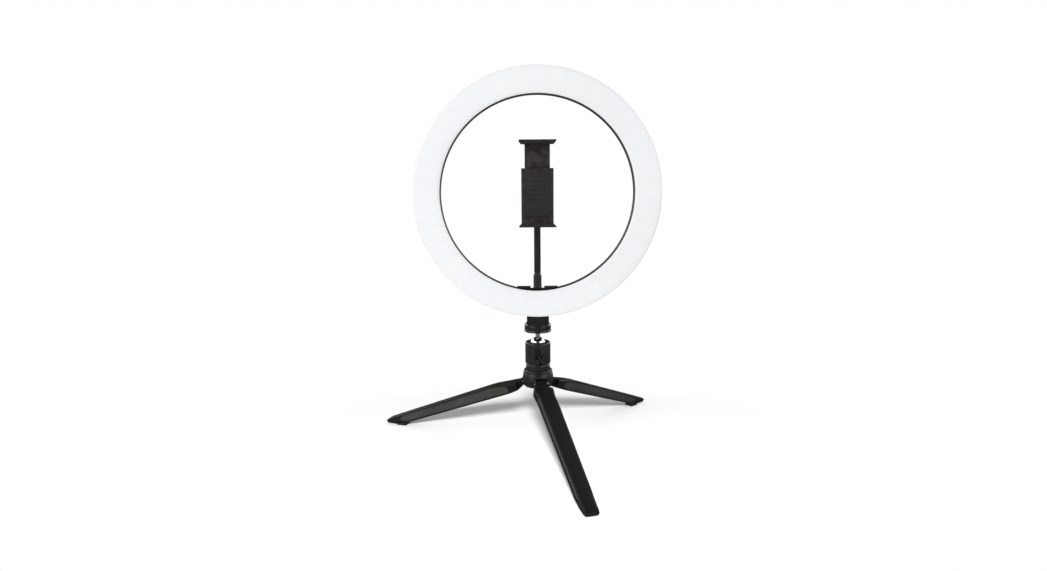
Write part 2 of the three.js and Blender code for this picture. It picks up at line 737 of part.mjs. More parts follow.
// A cup over the ball, with a boss forwards to the clamp.
function clampSocket() {
  const cup = turnedZ(
    [
      [0, 269.9], [9.7, 269.9], [9.7, 274.6], [10.3, 275.2],
      [10.3, 281.6], [8.9, 283], [0, 283],
    ],
    24,
  );
  const boss = cylY(4.3, -11.7, -3, 24, [0, PIVOT_Z]);
  const cavity = turnedZ(
    [
      [0, 268], [SOCKET_CAVITY_R, 268],
      ...ballArc(SOCKET_CAVITY_R, CLAMP_BALL_Z, 90, 0, 5),
    ],
    20,
  );
  return cut(cup.add(boss), [cavity, cylY(1.6, -13, -5.2, 12, [0, PIVOT_Z])]);
}

// ring nut, whose lip closes under the ball: [radius, z]
const LOCK_NUT = [
  [7.4, 265.2], [10.1, 265.2], [10.9, 266], [10.9, 273.6], [10.4, 274.2], [9.85, 274.2],
  [9.85, 269.6], [5.8, 269.6], [5.3, 268.5], [4.95, 268], [7.4, 265.2],
];
// shoulder screw on which the clamp turns: [radius, y]
const PIVOT_SCREW = [
  [0, -14.3], [3.2, -14.3], [3.2, -13.3], [1.5, -13.3], [1.5, -5.6], [0, -5.6],
];

addPiece(clampGroup, "clamp_ball_seat", "blackPlastic", clampBallSeat());
addPiece(clampGroup, "clamp_socket", "blackPlastic", clampSocket());
addPiece(clampGroup, "clamp_lock_nut", "blackPlastic", turnedZ(LOCK_NUT, 36));
addPiece(clampGroup, "pivot_screw", "steel", turnedY(PIVOT_SCREW, 16, [0, PIVOT_Z]));

// ---------- phone clamp ----------
const GAP_LO = 239.9; // inner face of the lower pad
const GAP_HI = GAP_LO + 80; // inner face of the upper pad, at rest
const JAW_T = 3.7; // jaw thickness with its pad
const JAW_NARROW = 16.8; // half-width at the phone
const JAW_WIDE = 18.9; // half-width at the outside
const JAW_FRONT = -34;
const BODY_FRONT = -20;
const BODY_BACK = -12; // back of the cover
const TRAY_BACK = BODY_BACK - 1.6;
const BODY_HALF = 16.6;
const BODY_TOP = 296;
const PAD_HALF = 14.4;
const PAD_T = 1.4;
const PAD_FRONT = JAW_FRONT + 1.6;
const PAD_BACK = BODY_FRONT - 0.8;
const PAD_PLAY = 0.2; // between a pad and the edge of its recess
const SLIDE_HALF = 13;
const SLIDE_FRONT = -17.7;
const SLIDE_BACK = -14.7;
const CLAMP_SCREW_AT = [[-15, 246], [15, 246], [-15, 290], [15, 290]]; // [x, z]
const SPRING_X = 6.2;
const SPRING_Y = -16.2;
const SPRING_R = 1.85;
const SPRING_TURNS = 8;
const WIRE_R = 0.35;

const jawGroup = addGroup(model);

const atClampScrews = (make) => CLAMP_SCREW_AT.map((at) => make(at));

// In the jaw functions faceZ is the face at the phone, and away is +1 or -1 along Z,
// pointing away from the phone.

// Jaw plate with a thin lip along the outside, from JAW_FRONT to backY.
function jawPlate(faceZ, away, backY) {
  // half outline: [x, distance from the face]
  const half = [
    [JAW_NARROW, 0.4], [JAW_WIDE - 0.4, JAW_T - 1.2], [JAW_WIDE, JAW_T - 1.1],
    [JAW_WIDE, JAW_T - 0.2], [JAW_WIDE - 0.4, JAW_T],
  ].map(([x, distance]) => [x, faceZ + away * distance]);
  return slabXZ(withMirror(half, -1, 1), JAW_FRONT, backY);
}

const padRecess = (faceZ, away) =>
  box(
    [-PAD_HALF - PAD_PLAY, PAD_FRONT - PAD_PLAY, faceZ - away],
    [PAD_HALF + PAD_PLAY, PAD_BACK + PAD_PLAY, faceZ + away * (PAD_T + 0.1)],
  );

const jawPad = (faceZ, away) =>
  box([-PAD_HALF, PAD_FRONT, faceZ], [PAD_HALF, PAD_BACK, faceZ + away * PAD_T]);

// A shallow tray, open behind and at the top, with the lower jaw.
function clampBody() {
  const block = box(
    [-BODY_HALF, BODY_FRONT, GAP_LO - JAW_T + 0.1],
    [BODY_HALF, TRAY_BACK, BODY_TOP],
  );
  const hollow = box([-13.4, BODY_FRONT + 1.6, 241.4], [13.4, BODY_BACK, BODY_TOP + 1]);
  const springBar = box([-8.6, BODY_FRONT + 1, 240.6], [8.6, -14.4, 243.2]);
  const body = block
    .subtract(hollow)
    .add(jawPlate(GAP_LO, -1, TRAY_BACK))
    .subtract(padRecess(GAP_LO, -1))
    .add(springBar);
  return cut(body, atClampScrews((at) => cylY(0.8, -18.8, -13, 8, at)));
}

function clampCover() {
  const plate = box(
    [-BODY_HALF, TRAY_BACK + 0.1, GAP_LO - JAW_T + 0.3],
    [BODY_HALF, BODY_BACK, BODY_TOP],
  );
  return cut(plate, [
    cylY(1.75, -15, -11, 16, [0, PIVOT_Z]),
    cylY(3.5, -15, -13.1, 20, [0, PIVOT_Z]), // recess of the pivot screw's head
    ...atClampScrews((at) => cylY(1, -14, -11, 8, at)),
    ...atClampScrews((at) => cylY(1.35, -12.7, -11, 8, at)),
  ]);
}

const CLAMP_SCREW = [
  [0, -18.2], [0.65, -17.8], [0.65, -12.6], [1.2, -12.6], [1.2, -12.1], [0, -12.05],
]; // [radius, y]
const BACK_PAD_HALF = [[12.5, 246], [13.5, 247], [13.5, 291], [12.5, 292]]; // [x, z]

// Jaw plate on a forked slide.
function upperJaw() {
  const plate = jawPlate(GAP_HI, 1, -14.2).subtract(padRecess(GAP_HI, 1));
  const slide = box(
    [-SLIDE_HALF, SLIDE_FRONT, 291.5],
    [SLIDE_HALF, SLIDE_BACK, GAP_HI + 2],
  );
  const prongs = SIDES.map((side) =>
    box([side * 9.4, SLIDE_FRONT, 264], [side * SLIDE_HALF, SLIDE_BACK, 292]),
  );
  // thickens the front of the slide where it meets the plate
  const rib = box([-SLIDE_HALF, -19.6, GAP_HI - 0.8], [SLIDE_HALF, -17.6, GAP_HI + 1.5]);
  return join(plate, [slide, ...prongs, rib]);
}

// Helix along Z at centreX, SPRING_Y.
class SpringCurve extends THREE.Curve {
  constructor(centreX, z0, z1) {
    super();
    Object.assign(this, { centreX, z0, z1 });
  }
  getPoint(t, target = new THREE.Vector3()) {
    const angle = 2 * Math.PI * SPRING_TURNS * t;
    const radius = SPRING_R - WIRE_R;
    return target.set(
      this.centreX + radius * Math.cos(angle),
      SPRING_Y + radius * Math.sin(angle),
      this.z0 + (this.z1 - this.z0) * t,
    );
  }
}

// A coil spring between the bar in the body and the slide.
function spring(centreX) {
  const section = [0, 90, 180, 270].map((deg) => onRing(deg, WIRE_R));
  return solid(
    new THREE.ExtrudeGeometry(new THREE.Shape(vectors(section)), {
      steps: SPRING_TURNS * 7,
      extrudePath: new SpringCurve(centreX, 243.8, 290.9),
      bevelEnabled: false,
    }),
  );
}

addPiece(jawGroup, "clamp_body", "jawPlastic", clampBody());
addPiece(jawGroup, "clamp_cover", "jawPlastic", clampCover());
atClampScrews((at) => turnedY(CLAMP_SCREW, 8, at)).forEach((screw, i) => {
  addPiece(jawGroup, `clamp_screw_${i + 1}`, "steel", screw);
});
addPiece(jawGroup, "lower_pad", "rubber", jawPad(GAP_LO, -1));
const backPad = slabXZ(withMirror(BACK_PAD_HALF, -1, 1), BODY_FRONT - 1, BODY_FRONT - 0.05);
addPiece(jawGroup, "back_pad", "rubber", backPad);
addPiece(jawGroup, "upper_jaw", "jawPlastic", upperJaw());
addPiece(jawGroup, "upper_pad", "rubber", jawPad(GAP_HI, 1));
SIDES.forEach((side, i) => {
  addPiece(jawGroup, `spring_${i + 1}`, "steel", spring(side * SPRING_X));
});

export default root;
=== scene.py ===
# A ring light on a three-legged stand, with a ball head and a sprung phone clamp inside the ring.
# +Z is up and the floor is z = 0. The light and the clamp face -Y, which is the front; +X is to
# the right seen from there. Pieces are drawn in mm about the stand's upright axis, then scaled to
# metres and moved by SHIFT to where that axis stands.
import json
import math

import bmesh
import bpy
from mathutils import Matrix, Vector


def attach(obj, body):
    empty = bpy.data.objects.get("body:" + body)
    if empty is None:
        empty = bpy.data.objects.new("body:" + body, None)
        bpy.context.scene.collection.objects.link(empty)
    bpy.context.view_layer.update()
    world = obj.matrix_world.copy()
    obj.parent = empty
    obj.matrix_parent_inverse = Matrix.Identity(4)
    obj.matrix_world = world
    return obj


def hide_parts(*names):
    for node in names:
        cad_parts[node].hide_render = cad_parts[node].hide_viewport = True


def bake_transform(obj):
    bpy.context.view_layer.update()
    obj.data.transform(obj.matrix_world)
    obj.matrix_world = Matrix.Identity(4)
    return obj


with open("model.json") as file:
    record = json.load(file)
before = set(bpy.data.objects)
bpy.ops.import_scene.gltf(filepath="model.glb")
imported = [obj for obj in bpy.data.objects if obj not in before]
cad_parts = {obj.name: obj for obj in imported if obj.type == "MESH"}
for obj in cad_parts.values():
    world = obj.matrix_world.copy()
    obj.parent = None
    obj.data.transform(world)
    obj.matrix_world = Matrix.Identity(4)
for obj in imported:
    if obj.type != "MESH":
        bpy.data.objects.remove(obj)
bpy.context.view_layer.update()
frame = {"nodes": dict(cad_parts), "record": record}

scene = bpy.context.scene
NODES = frame["nodes"]
BODY_OF = {n: body for body, ns in frame["record"]["behaviour"]["bodies"].items() for n in ns}
SLOT_OF = {part["node"]: part["material_slot"] for part in frame["record"]["subparts"]}
REPLACED = set()  # CAD pieces that have a finer mesh

# ------------------------------------------------------------------ sizes, mm and degrees
MM = 0.001
ORIGIN_X, ORIGIN_Y = 19.4001, 26.0517  # the stand's axis
SHIFT = Vector((ORIGIN_X, ORIGIN_Y, 0)) * MM

# light ring; angles run from +X towards +Z
RING_Z, RING_R, RING_RI = 270.0, 130.0, 101.6  # centre height, outer and inner radius
LED_R = 116.0  # circle of the LEDs, the case screws and the keys
CASE_SCREW_AT = [30, 90, 150, 210, 330]
KEYS = ["button_power", "button_mode", "button_dim", "button_bright"]
KEY_FIRST_AT, KEY_PITCH = 234, 6
KEY_AT = [KEY_FIRST_AT + KEY_PITCH * i for i in range(len(KEYS))]
SOCKET_AT = 287

# ball head
BALL_Z, BALL_R = 107.5, 8.5
BALL_SEAT_R = BALL_R + 0.3
WING_Z, WING_TILT = 98.3, 20.9

# clamp
CLAMP_BALL_Z, CLAMP_BALL_R = 272.0, 6.0
CLAMP_PIVOT_Z = 278.5
LOWER_PAD_Z, UPPER_PAD_Z = 239.9, 319.9  # the pads' facing sides

# legs
LEG_AT = [(282.75 + 120 * i) % 360 for i in range(3)]
LEG_PIVOT_R, LEG_PIVOT_Z, LEG_SLOPE, LEG_LEN = 14.0, 67.0, 21.6, 178.5


# ------------------------------------------------------------------ shader graphs
class Graph:
    """A node tree being filled. Every method but add and output returns a socket."""

    def __init__(self, tree):
        self.tree = tree
        tree.nodes.clear()

    def add(self, kind, inputs=None, **settings):
        """Adds a node. An input is either a value or a socket to link from."""
        made = self.tree.nodes.new(kind)
        for key, value in settings.items():
            setattr(made, key, value)
        for key, value in (inputs or {}).items():
            if isinstance(value, bpy.types.NodeSocket):
                self.tree.links.new(value, made.inputs[key])
            else:
                made.inputs[key].default_value = value
        return made

    def noise(self, scale, detail=3.0, roughness=0.55, stretch=None):
        vector = self.coord
        if stretch:
            vector = self.add("ShaderNodeMapping", {"Vector": vector, "Scale": stretch}).outputs[0]
        return self.add("ShaderNodeTexNoise", {
            "Scale": scale, "Detail": detail, "Roughness": roughness, "Vector": vector,
        }).outputs[0]

    def ramp(self, source, *stops, interpolation="LINEAR"):
        """Maps a value through (position, grey) stops."""
        made = self.add("ShaderNodeValToRGB", {0: source})
        made.color_ramp.interpolation = interpolation
        elements = made.color_ramp.elements
        while len(elements) < len(stops):
            elements.new(0.5)
        for element, (position, grey) in zip(elements, stops):
            element.position = position
            element.color = (grey, grey, grey, 1)
        return made.outputs[0]

    def mix(self, factor, first, second):
        """Blends two colours, each an RGB tuple or a socket."""
        first, second = ((*c, 1) if isinstance(c, tuple) else c for c in (first, second))
        return self.add(
            "ShaderNodeMix", {0: factor, 6: first, 7: second}, data_type="RGBA", blend_type="MIX",
        ).outputs[2]

    def math(self, operation, *values, clamp=False):
        return self.add(
            "ShaderNodeMath", dict(enumerate(values)), operation=operation, use_clamp=clamp,
        ).outputs[0]

    def bump(self, height, strength, distance, normal=None):
        inputs = {"Strength": strength, "Distance": distance, "Height": height}
        if normal:
            inputs["Normal"] = normal
        return self.add("ShaderNodeBump", inputs).outputs[0]

    def separate(self, vector):
        return self.add("ShaderNodeSeparateXYZ", {0: vector}).outputs

    def principled(self, inputs):
        return self.add("ShaderNodeBsdfPrincipled", inputs).outputs[0]

    def white(self, kind, strength):
        """A white Emission or Background shader."""
        inputs = {"Color": (1, 1, 1, 1), "Strength": strength}
        return self.add("ShaderNode" + kind, inputs).outputs[0]

    def mix_shader(self, factor, first, second):
        return self.add("ShaderNodeMixShader", {0: factor, 1: first, 2: second}).outputs[0]

    def output(self, shader, kind="Material"):
        self.add("ShaderNodeOutput" + kind, {0: shader})


def start_material(name):
    material = bpy.data.materials.new(name)
    material.use_nodes = True
    graph = Graph(material.node_tree)
    graph.coord = graph.add("ShaderNodeTexCoord").outputs["Object"]
    return material, graph


# ------------------------------------------------------------------ kinds of material
def plastic(name, dark, light, roughness, grain, edge_wear_and_highlight, specular, grain_depth=0.00006, coat=0.0):
    """Moulded plastic: colour drift, fine grain, faint rub marks, and slightly burnished edges
    whose lighter colour is partly wear and partly a painted highlight.
    """
    rub = 0.12  # spread of roughness across the rub marks
    material, g = start_material(name)
    drift = g.noise(scale=22.0, detail=4.0)
    colour = g.mix(g.ramp(drift, (0.3, 0.0), (0.7, 1.0)), dark, light)

    # lighter, smoother edges in patches: partly wear, partly a painted highlight along the edges
    pointiness = g.add("ShaderNodeNewGeometry").outputs["Pointiness"]
    edge = g.ramp(pointiness, (0.51, 0.0), (0.58, 1.0))
    patch = g.noise(scale=160.0, detail=5.0, roughness=0.65)
    edge = g.math("MULTIPLY", edge, g.ramp(patch, (0.42, 0.0), (0.62, 1.0)))
    edge = g.math("MULTIPLY", edge, edge_wear_and_highlight)
    # the edge colour, lighter than the plastic: partly wear, partly a painted highlight
    worn_and_highlit = tuple(min(1.0, c * 2.6 + 0.012) for c in light)
    colour = g.mix(edge, colour, worn_and_highlit)

    # faint dust
    dust = g.ramp(g.noise(scale=420.0, detail=6.0, roughness=0.7), (0.62, 0.0), (0.78, 1.0))
    colour = g.mix(g.math("MULTIPLY", dust, 0.07), colour, (0.16, 0.155, 0.15))

    rubs = g.noise(scale=95.0, detail=5.0, roughness=0.6, stretch=(1.0, 1.0, 5.0))
    rubbed = g.math("MULTIPLY_ADD", rubs, rub, roughness - rub * 0.5)
    fine = g.bump(
        g.noise(scale=grain, detail=2.0, roughness=0.5), strength=0.35, distance=grain_depth,
    )
    waviness = g.noise(scale=70.0, detail=2.0, roughness=0.5)
    g.output(g.principled({
        "Base Color": colour,
        "Roughness": g.math("SUBTRACT", rubbed, g.math("MULTIPLY", edge, 0.12), clamp=True),
        "Normal": g.bump(waviness, strength=0.12, distance=0.0006, normal=fine),
        "Specular IOR Level": specular,
        "Coat Weight": coat,
        "Coat Roughness": 0.12,
    }))
    return material


def rubber(name, dark=(0.012, 0.012, 0.012), light=(0.026, 0.025, 0.024), roughness=0.78):
    """Dull rubber with fine tooth and specks of dust."""
    material, g = start_material(name)
    drift = g.noise(scale=60.0, detail=5.0)
    dust = g.ramp(g.noise(scale=900.0, detail=4.0, roughness=0.7), (0.58, 0.0), (0.74, 1.0))
    dusty = g.math("MULTIPLY", dust, 0.25)
    tooth = g.noise(scale=2200.0, detail=3.0, roughness=0.6)
    g.output(g.principled({
        "Base Color": g.mix(dusty, g.mix(drift, dark, light), (0.12, 0.115, 0.11)),
        "Roughness": g.ramp(drift, (0.0, roughness - 0.1), (1.0, roughness + 0.12)),
        "Normal": g.bump(tooth, strength=0.5, distance=0.00008),
        "Specular IOR Level": 0.3,
    }))
    return material


def metal(name, dark, light, roughness, line_scale, line_stretch=(1.0, 1.0, 1.0)):
    """Polished or turned metal with fine machining lines and smudges."""
    material, g = start_material(name)
    drift = g.noise(scale=120.0, detail=4.0)
    smudge = g.noise(scale=260.0, detail=5.0, roughness=0.65)
    lines = g.noise(scale=line_scale, detail=2.0, roughness=0.5, stretch=line_stretch)
    g.output(g.principled({
        "Base Color": g.mix(drift, dark, light),
        "Roughness": g.ramp(smudge, (0.35, roughness), (0.75, roughness + 0.10)),
        "Metallic": 1.0,
        "Normal": g.bump(lines, strength=0.18, distance=0.00004),
    }))
    return material


def glowing_diffuser(name, glow_base):
    """Frosted sheet lit from behind: an even glow with a trace of the LEDs, brighter low down."""
    material, g = start_material(name)
    x, _, z = g.separate(g.coord)
    dz = g.math("SUBTRACT", z, RING_Z * MM)
    dx = g.math("SUBTRACT", x, SHIFT.x)
    squares = g.math("ADD", g.math("MULTIPLY", dx, dx), g.math("MULTIPLY", dz, dz))
    radius = g.math("SQRT", squares)
    angle = g.math("ARCTAN2", dz, dx)
    cloud = g.noise(scale=9.0, detail=3.0, roughness=0.5)

    # a band on the LED circle, and 36 soft spots along it
    off_circle = g.math("ABSOLUTE", g.math("SUBTRACT", radius, LED_R * MM))
    band = g.ramp(
        g.math("DIVIDE", off_circle, 0.014), (0.0, 1.0), (0.45, 0.8), (0.85, 0.35), (1.0, 0.0),
    )
    spots = g.math("MULTIPLY_ADD", g.math("COSINE", g.math("MULTIPLY", angle, 36.0)), 0.5, 0.5)
    spots = g.math("MULTIPLY", spots, band)
    low = g.ramp(g.math("MULTIPLY_ADD", dz, 3.8, 0.5), (0.0, 1.0), (0.35, 0.35), (1.0, 0.0))

    # each layer's share is added to the base glow
    glow = g.math("MULTIPLY_ADD", spots, 0.012, glow_base)
    for layer, share in ((band, 0.02), (low, 0.05), (cloud, 0.03)):
        glow = g.math("ADD", glow, g.math("MULTIPLY", layer, share))

    frost = g.noise(scale=1100.0, detail=3.0, roughness=0.6)
    g.output(g.principled({
        "Base Color": g.mix(cloud, (0.375, 0.382, 0.393), (0.405, 0.412, 0.423)),
        "Roughness": g.ramp(frost, (0.2, 0.34), (0.8, 0.48)),
        "Normal": g.bump(frost, strength=0.25, distance=0.00006),
        "Emission Color": (0.965, 0.985, 1.0, 1),
        "Emission Strength": glow,
    }))
    return material


def circuit_board(name, dark, light, trace):
    """Solder mask crossed by a net of raised lines."""
    material, g = start_material(name)
    cells = g.add(
        "ShaderNodeTexVoronoi", {"Scale": 260.0, "Vector": g.coord}, feature="DISTANCE_TO_EDGE",
    )
    line = g.ramp(cells.outputs["Distance"], (0.02, 1.0), (0.05, 0.0))
    drift = g.noise(scale=80.0, detail=4.0)
    g.output(g.principled({
        "Base Color": g.mix(g.math("MULTIPLY", line, 0.5), g.mix(drift, dark, light), trace),
        "Roughness": g.ramp(drift, (0.0, 0.3), (1.0, 0.5)),
        "Normal": g.bump(line, strength=0.3, distance=0.0001),
    }))
    return material


# ------------------------------------------------------------------ the materials
MATERIALS = {
    "black": plastic(
        "black_plastic", dark=(0.010, 0.010, 0.011), light=(0.017, 0.017, 0.018),
        roughness=0.36, grain=1700.0, edge_wear_and_highlight=0.4, specular=0.34,
    ),
    # the leg plastic, darkened as painted shade on the tops; the lighter copy below is the same
    # plastic painted as lit
    "leg": plastic(
        "leg_plastic", dark=(0.006, 0.0057, 0.0055), light=(0.011, 0.0104, 0.010),
        roughness=0.46, grain=1300.0, edge_wear_and_highlight=0.35, specular=0.14,
    ),
    # the leg plastic made lighter for the pocket and the sides beyond it: painted light from the
    # front; only the coarser grain is the pocket's own texture
    "lit_side": plastic(
        "leg_lit_side_plastic", dark=(0.043, 0.0405, 0.0372), light=(0.066, 0.0615, 0.0565),
        roughness=0.55, grain=700.0, grain_depth=0.00018, edge_wear_and_highlight=0.2, specular=0.06,
    ),
    "head": plastic(
        "head_plastic", dark=(0.010, 0.010, 0.011), light=(0.016, 0.016, 0.017),
        roughness=0.30, grain=1500.0, edge_wear_and_highlight=0.4, coat=0.06, specular=0.36,
    ),
    "shell": plastic(
        "shell_plastic", dark=(0.010, 0.010, 0.011), light=(0.017, 0.017, 0.018),
        roughness=0.44, grain=900.0, grain_depth=0.00012, edge_wear_and_highlight=0.4, specular=0.4,
    ),
    "jaw": plastic(
        "jaw_plastic", dark=(0.012, 0.0092, 0.0088), light=(0.021, 0.0165, 0.0155),
        roughness=0.38, grain=1100.0, grain_depth=0.0001, edge_wear_and_highlight=0.4, specular=0.36,
    ),
    "gloss": plastic(
        "gloss_plastic", dark=(0.007, 0.007, 0.007), light=(0.011, 0.011, 0.011),
        roughness=0.20, grain=1800.0, grain_depth=0.00003, edge_wear_and_highlight=0.04, coat=0.2, specular=0.4,
    ),
    "wing": plastic(
        "wing_plastic", dark=(0.004, 0.004, 0.004), light=(0.007, 0.007, 0.007),
        roughness=0.5, grain=1800.0, grain_depth=0.00003, edge_wear_and_highlight=0.0, specular=0.12,
    ),
    "rubber": rubber("soft_rubber"),
    "key": rubber(
        "key_rubber", dark=(0.03, 0.03, 0.032), light=(0.05, 0.05, 0.052), roughness=0.6,
    ),
    "chrome": metal(
        "polished_chrome", dark=(0.80, 0.81, 0.83), light=(0.86, 0.87, 0.89),
        roughness=0.05, line_scale=900.0, line_stretch=(1, 1, 12),
    ),
    "steel": metal(
        "zinc_steel", dark=(0.50, 0.51, 0.53), light=(0.62, 0.62, 0.63),
        roughness=0.24, line_scale=1500.0,
    ),
    "brass": metal(
        "turned_brass", dark=(0.62, 0.45, 0.18), light=(0.76, 0.58, 0.26),
        roughness=0.22, line_scale=1500.0, line_stretch=(1, 1, 10),
    ),
    "diffuser": glowing_diffuser("frosted_diffuser", glow_base=0.345),
    "led": circuit_board(
        "led_board_mask", dark=(0.72, 0.74, 0.71), light=(0.84, 0.85, 0.82),
        trace=(0.60, 0.62, 0.58),
    ),
    "pcb": circuit_board(
        "green_board_mask", dark=(0.015, 0.11, 0.05), light=(0.03, 0.17, 0.08),
        trace=(0.06, 0.24, 0.12),
    ),
    "wire": rubber(
        "wire_jacket", dark=(0.30, 0.02, 0.02), light=(0.42, 0.04, 0.035), roughness=0.5,
    ),
}
# the material of pieces that keep their CAD mesh, by material slot
SLOT_MATERIAL = {
    "black_plastic": "black", "shell_plastic": "shell", "jaw_plastic": "jaw",
    "diffuser": "diffuser", "rubber": "rubber", "chrome": "chrome", "steel": "steel",
    "brass": "brass", "led_board": "led", "control_board": "pcb", "wire": "wire",
}


# ------------------------------------------------------------------ objects
def take_mesh(name, bm):
    """Turns a bmesh into a mesh and frees it."""
    mesh = bpy.data.meshes.new(name)
    bm.to_mesh(mesh)
    bm.free()
    return mesh


def add_object(name, data):
    obj = bpy.data.objects.new(name, data)
    scene.collection.objects.link(obj)
    return obj


def shade(mesh, sharp):
    """Smooth shading, split at edges sharper than the given degrees."""
    mesh.polygons.foreach_set("use_smooth", [True] * len(mesh.polygons))
    mesh.set_sharp_from_angle(angle=math.radians(sharp))


def make_object(node, bm, material, sharp=32.0, shift=True):
    if shift:
        bmesh.ops.translate(bm, vec=SHIFT, verts=bm.verts)
    bmesh.ops.recalc_face_normals(bm, faces=bm.faces)
    mesh = take_mesh(node + "_fine", bm)
    shade(mesh, sharp)
    mesh.materials.append(MATERIALS[material])
    return add_object(node + "_fine", mesh)


def mark_replaced(node):
    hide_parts(node)
    REPLACED.add(node)


def make_piece(node, bm, material, body=None, **options):
    """An object that moves with its body and stands in for a CAD piece."""
    obj = make_object(node, bm, material, **options)
    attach(obj, body or BODY_OF[node])
    mark_replaced(node)
    return obj


# ------------------------------------------------------------------ mesh helpers
def add_vert(bm, point):
    return bm.verts.new(Vector(point) * MM)


def bridge(bm, first, second):
    """Joins two rings of vertices. A ring that is one repeated vertex gives triangles."""
    faces = []
    for k in range(len(first)):
        j = (k + 1) % len(first)
        corners = list(dict.fromkeys((first[k], first[j], second[j], second[k])))
        if len(corners) >= 3:
            faces.append(bm.faces.new(corners))
    return faces


def loft(bm, rings, capped=False):
    for first, second in zip(rings, rings[1:]):
        bridge(bm, first, second)
    if capped:
        bm.faces.new(rings[0][::-1])
        bm.faces.new(rings[-1])


def triangulate_large(bm):
    bmesh.ops.triangulate(bm, faces=[f for f in bm.faces if len(f.verts) > 4])


def join(bm, other):
    """Moves the other bmesh's faces into the first."""
    mesh = take_mesh("joined", other)
    bm.from_mesh(mesh)
    bpy.data.meshes.remove(mesh)


def rotation(degrees, axis):
    return Matrix.Rotation(math.radians(degrees), 4, axis)


def corner_arc(before, here, after, radius):
    """The points that round one corner; the corner itself where it can't be rounded."""
    to_before, to_after = before - here, after - here
    length_before, length_after = to_before.length, to_after.length
    if min(length_before, length_after) < 1e-6:
        return [here]
    to_before, to_after = to_before / length_before, to_after / length_after
    angle = math.acos(max(-1, min(1, to_before.dot(to_after))))
    if angle > math.radians(176) or angle < 0.05:
        return [here]
    # the arc takes less than half of either side
    setback = min(radius / math.tan(angle / 2), length_before * 0.45, length_after * 0.45)
    radius = setback * math.tan(angle / 2)
    start, end = here + to_before * setback, here + to_after * setback
    centre = here + (to_before + to_after).normalized() * (radius / math.sin(angle / 2))
    steps = max(2, int(math.degrees(math.pi - angle) / 18) + 1)
    start_at = math.atan2(start.y - centre.y, start.x - centre.x)
    turn = math.atan2(end.y - centre.y, end.x - centre.x) - start_at
    while turn > math.pi:
        turn -= 2 * math.pi
    while turn < -math.pi:
        turn += 2 * math.pi
    angles = [start_at + turn * k / steps for k in range(steps + 1)]
    return [centre + Vector((math.cos(a), math.sin(a))) * radius for a in angles]


def fillet(points, closed):
    """Rounds a profile's corners. A point is (a, b) for a sharp corner or (a, b, radius)."""
    count = len(points)
    rounded = []
    for i, point in enumerate(points):
        here = Vector(point[:2])
        if len(point) < 3 or (not closed and i in (0, count - 1)):
            rounded.append(here)
            continue
        before, after = Vector(points[i - 1][:2]), Vector(points[(i + 1) % count][:2])
        rounded += corner_arc(before, here, after, point[2])
    return rounded


def turned(profile, axis="Z", segs=96, at=(0, 0, 0), closed=False, radius_change=None):
    """Turns a profile of (radius, height[, fillet]) about an axis through a point.

    radius_change(angle, radius, height) gives a length to add to the radius.
    """
    def vert(u, v, h):
        point = {"X": (h, u, v), "Y": (u, h, v), "Z": (u, v, h)}[axis]
        return add_vert(bm, [p + offset for p, offset in zip(point, at)])

    bm = bmesh.new()
    rings = []
    for radius, height in fillet(profile, closed):
        if radius < 1e-5:
            rings.append([vert(0, 0, height)] * segs)
            continue
        ring = []
        for k in range(segs):
            a = 2 * math.pi * k / segs
            r = radius + (radius_change(a, radius, height) if radius_change else 0.0)
            ring.append(vert(r * math.cos(a), r * math.sin(a), height))
        rings.append(ring)
    loft(bm, rings)
    if closed:
        bridge(bm, rings[-1], rings[0])
    return bm


def lathe(node, material, profile, sharp=32.0, **shape):
    return make_piece(node, turned(profile, **shape), material, sharp=sharp)


def box(low, high, matrix):
    bm = bmesh.new()
    bmesh.ops.create_cube(bm, size=1.0)
    for v in bm.verts:
        corner = Vector([(c + 0.5) * (b - a) + a for c, a, b in zip(v.co, low, high)])
        v.co = (matrix @ corner) * MM
    return bm


def cut(obj, cutters, sharp=32.0):
    """Takes closed cutters out of an object and keeps the result as its mesh."""
    tools = []
    for bm in cutters:
        bmesh.ops.translate(bm, vec=SHIFT, verts=bm.verts)
        bmesh.ops.recalc_face_normals(bm, faces=bm.faces)
        tool = add_object("cutter", take_mesh("cutter", bm))
        tools.append(tool)
        modifier = obj.modifiers.new("cut", "BOOLEAN")
        modifier.operation = "DIFFERENCE"
        modifier.solver = "EXACT"
        modifier.object = tool
    bpy.context.view_layer.update()
    depsgraph = bpy.context.evaluated_depsgraph_get()
    result = bpy.data.meshes.new_from_object(obj.evaluated_get(depsgraph))
    uncut = obj.data
    material = uncut.materials[0]
    obj.modifiers.clear()
    obj.data = result
    result.materials.clear()
    result.materials.append(material)
    result.polygons.foreach_set("material_index", [0] * len(result.polygons))
    shade(result, sharp)
    bpy.data.meshes.remove(uncut)
    for tool in tools:
        mesh = tool.data
        bpy.data.objects.remove(tool)
        bpy.data.meshes.remove(mesh)


def refine(node, material, width, segs):
    """A copy of a CAD piece, already in place, with flat faces merged and edges rounded."""
    bm = bmesh.new()
    bm.from_mesh(NODES[node].data)
    bmesh.ops.remove_doubles(bm, verts=bm.verts, dist=2e-6)
    bmesh.ops.dissolve_limit(bm, angle_limit=math.radians(4.0), verts=bm.verts, edges=bm.edges)
    edges = [
        e for e in bm.edges
        if len(e.link_faces) == 2 and e.calc_face_angle(0) > math.radians(28.0)
    ]
    bmesh.ops.bevel(
        bm, geom=edges, offset=width * MM, offset_type="OFFSET", segments=segs, profile=0.5,
        affect="EDGES", clamp_overlap=True,
    )
    triangulate_large(bm)
    make_piece(node, bm, material, sharp=40.0, shift=False)


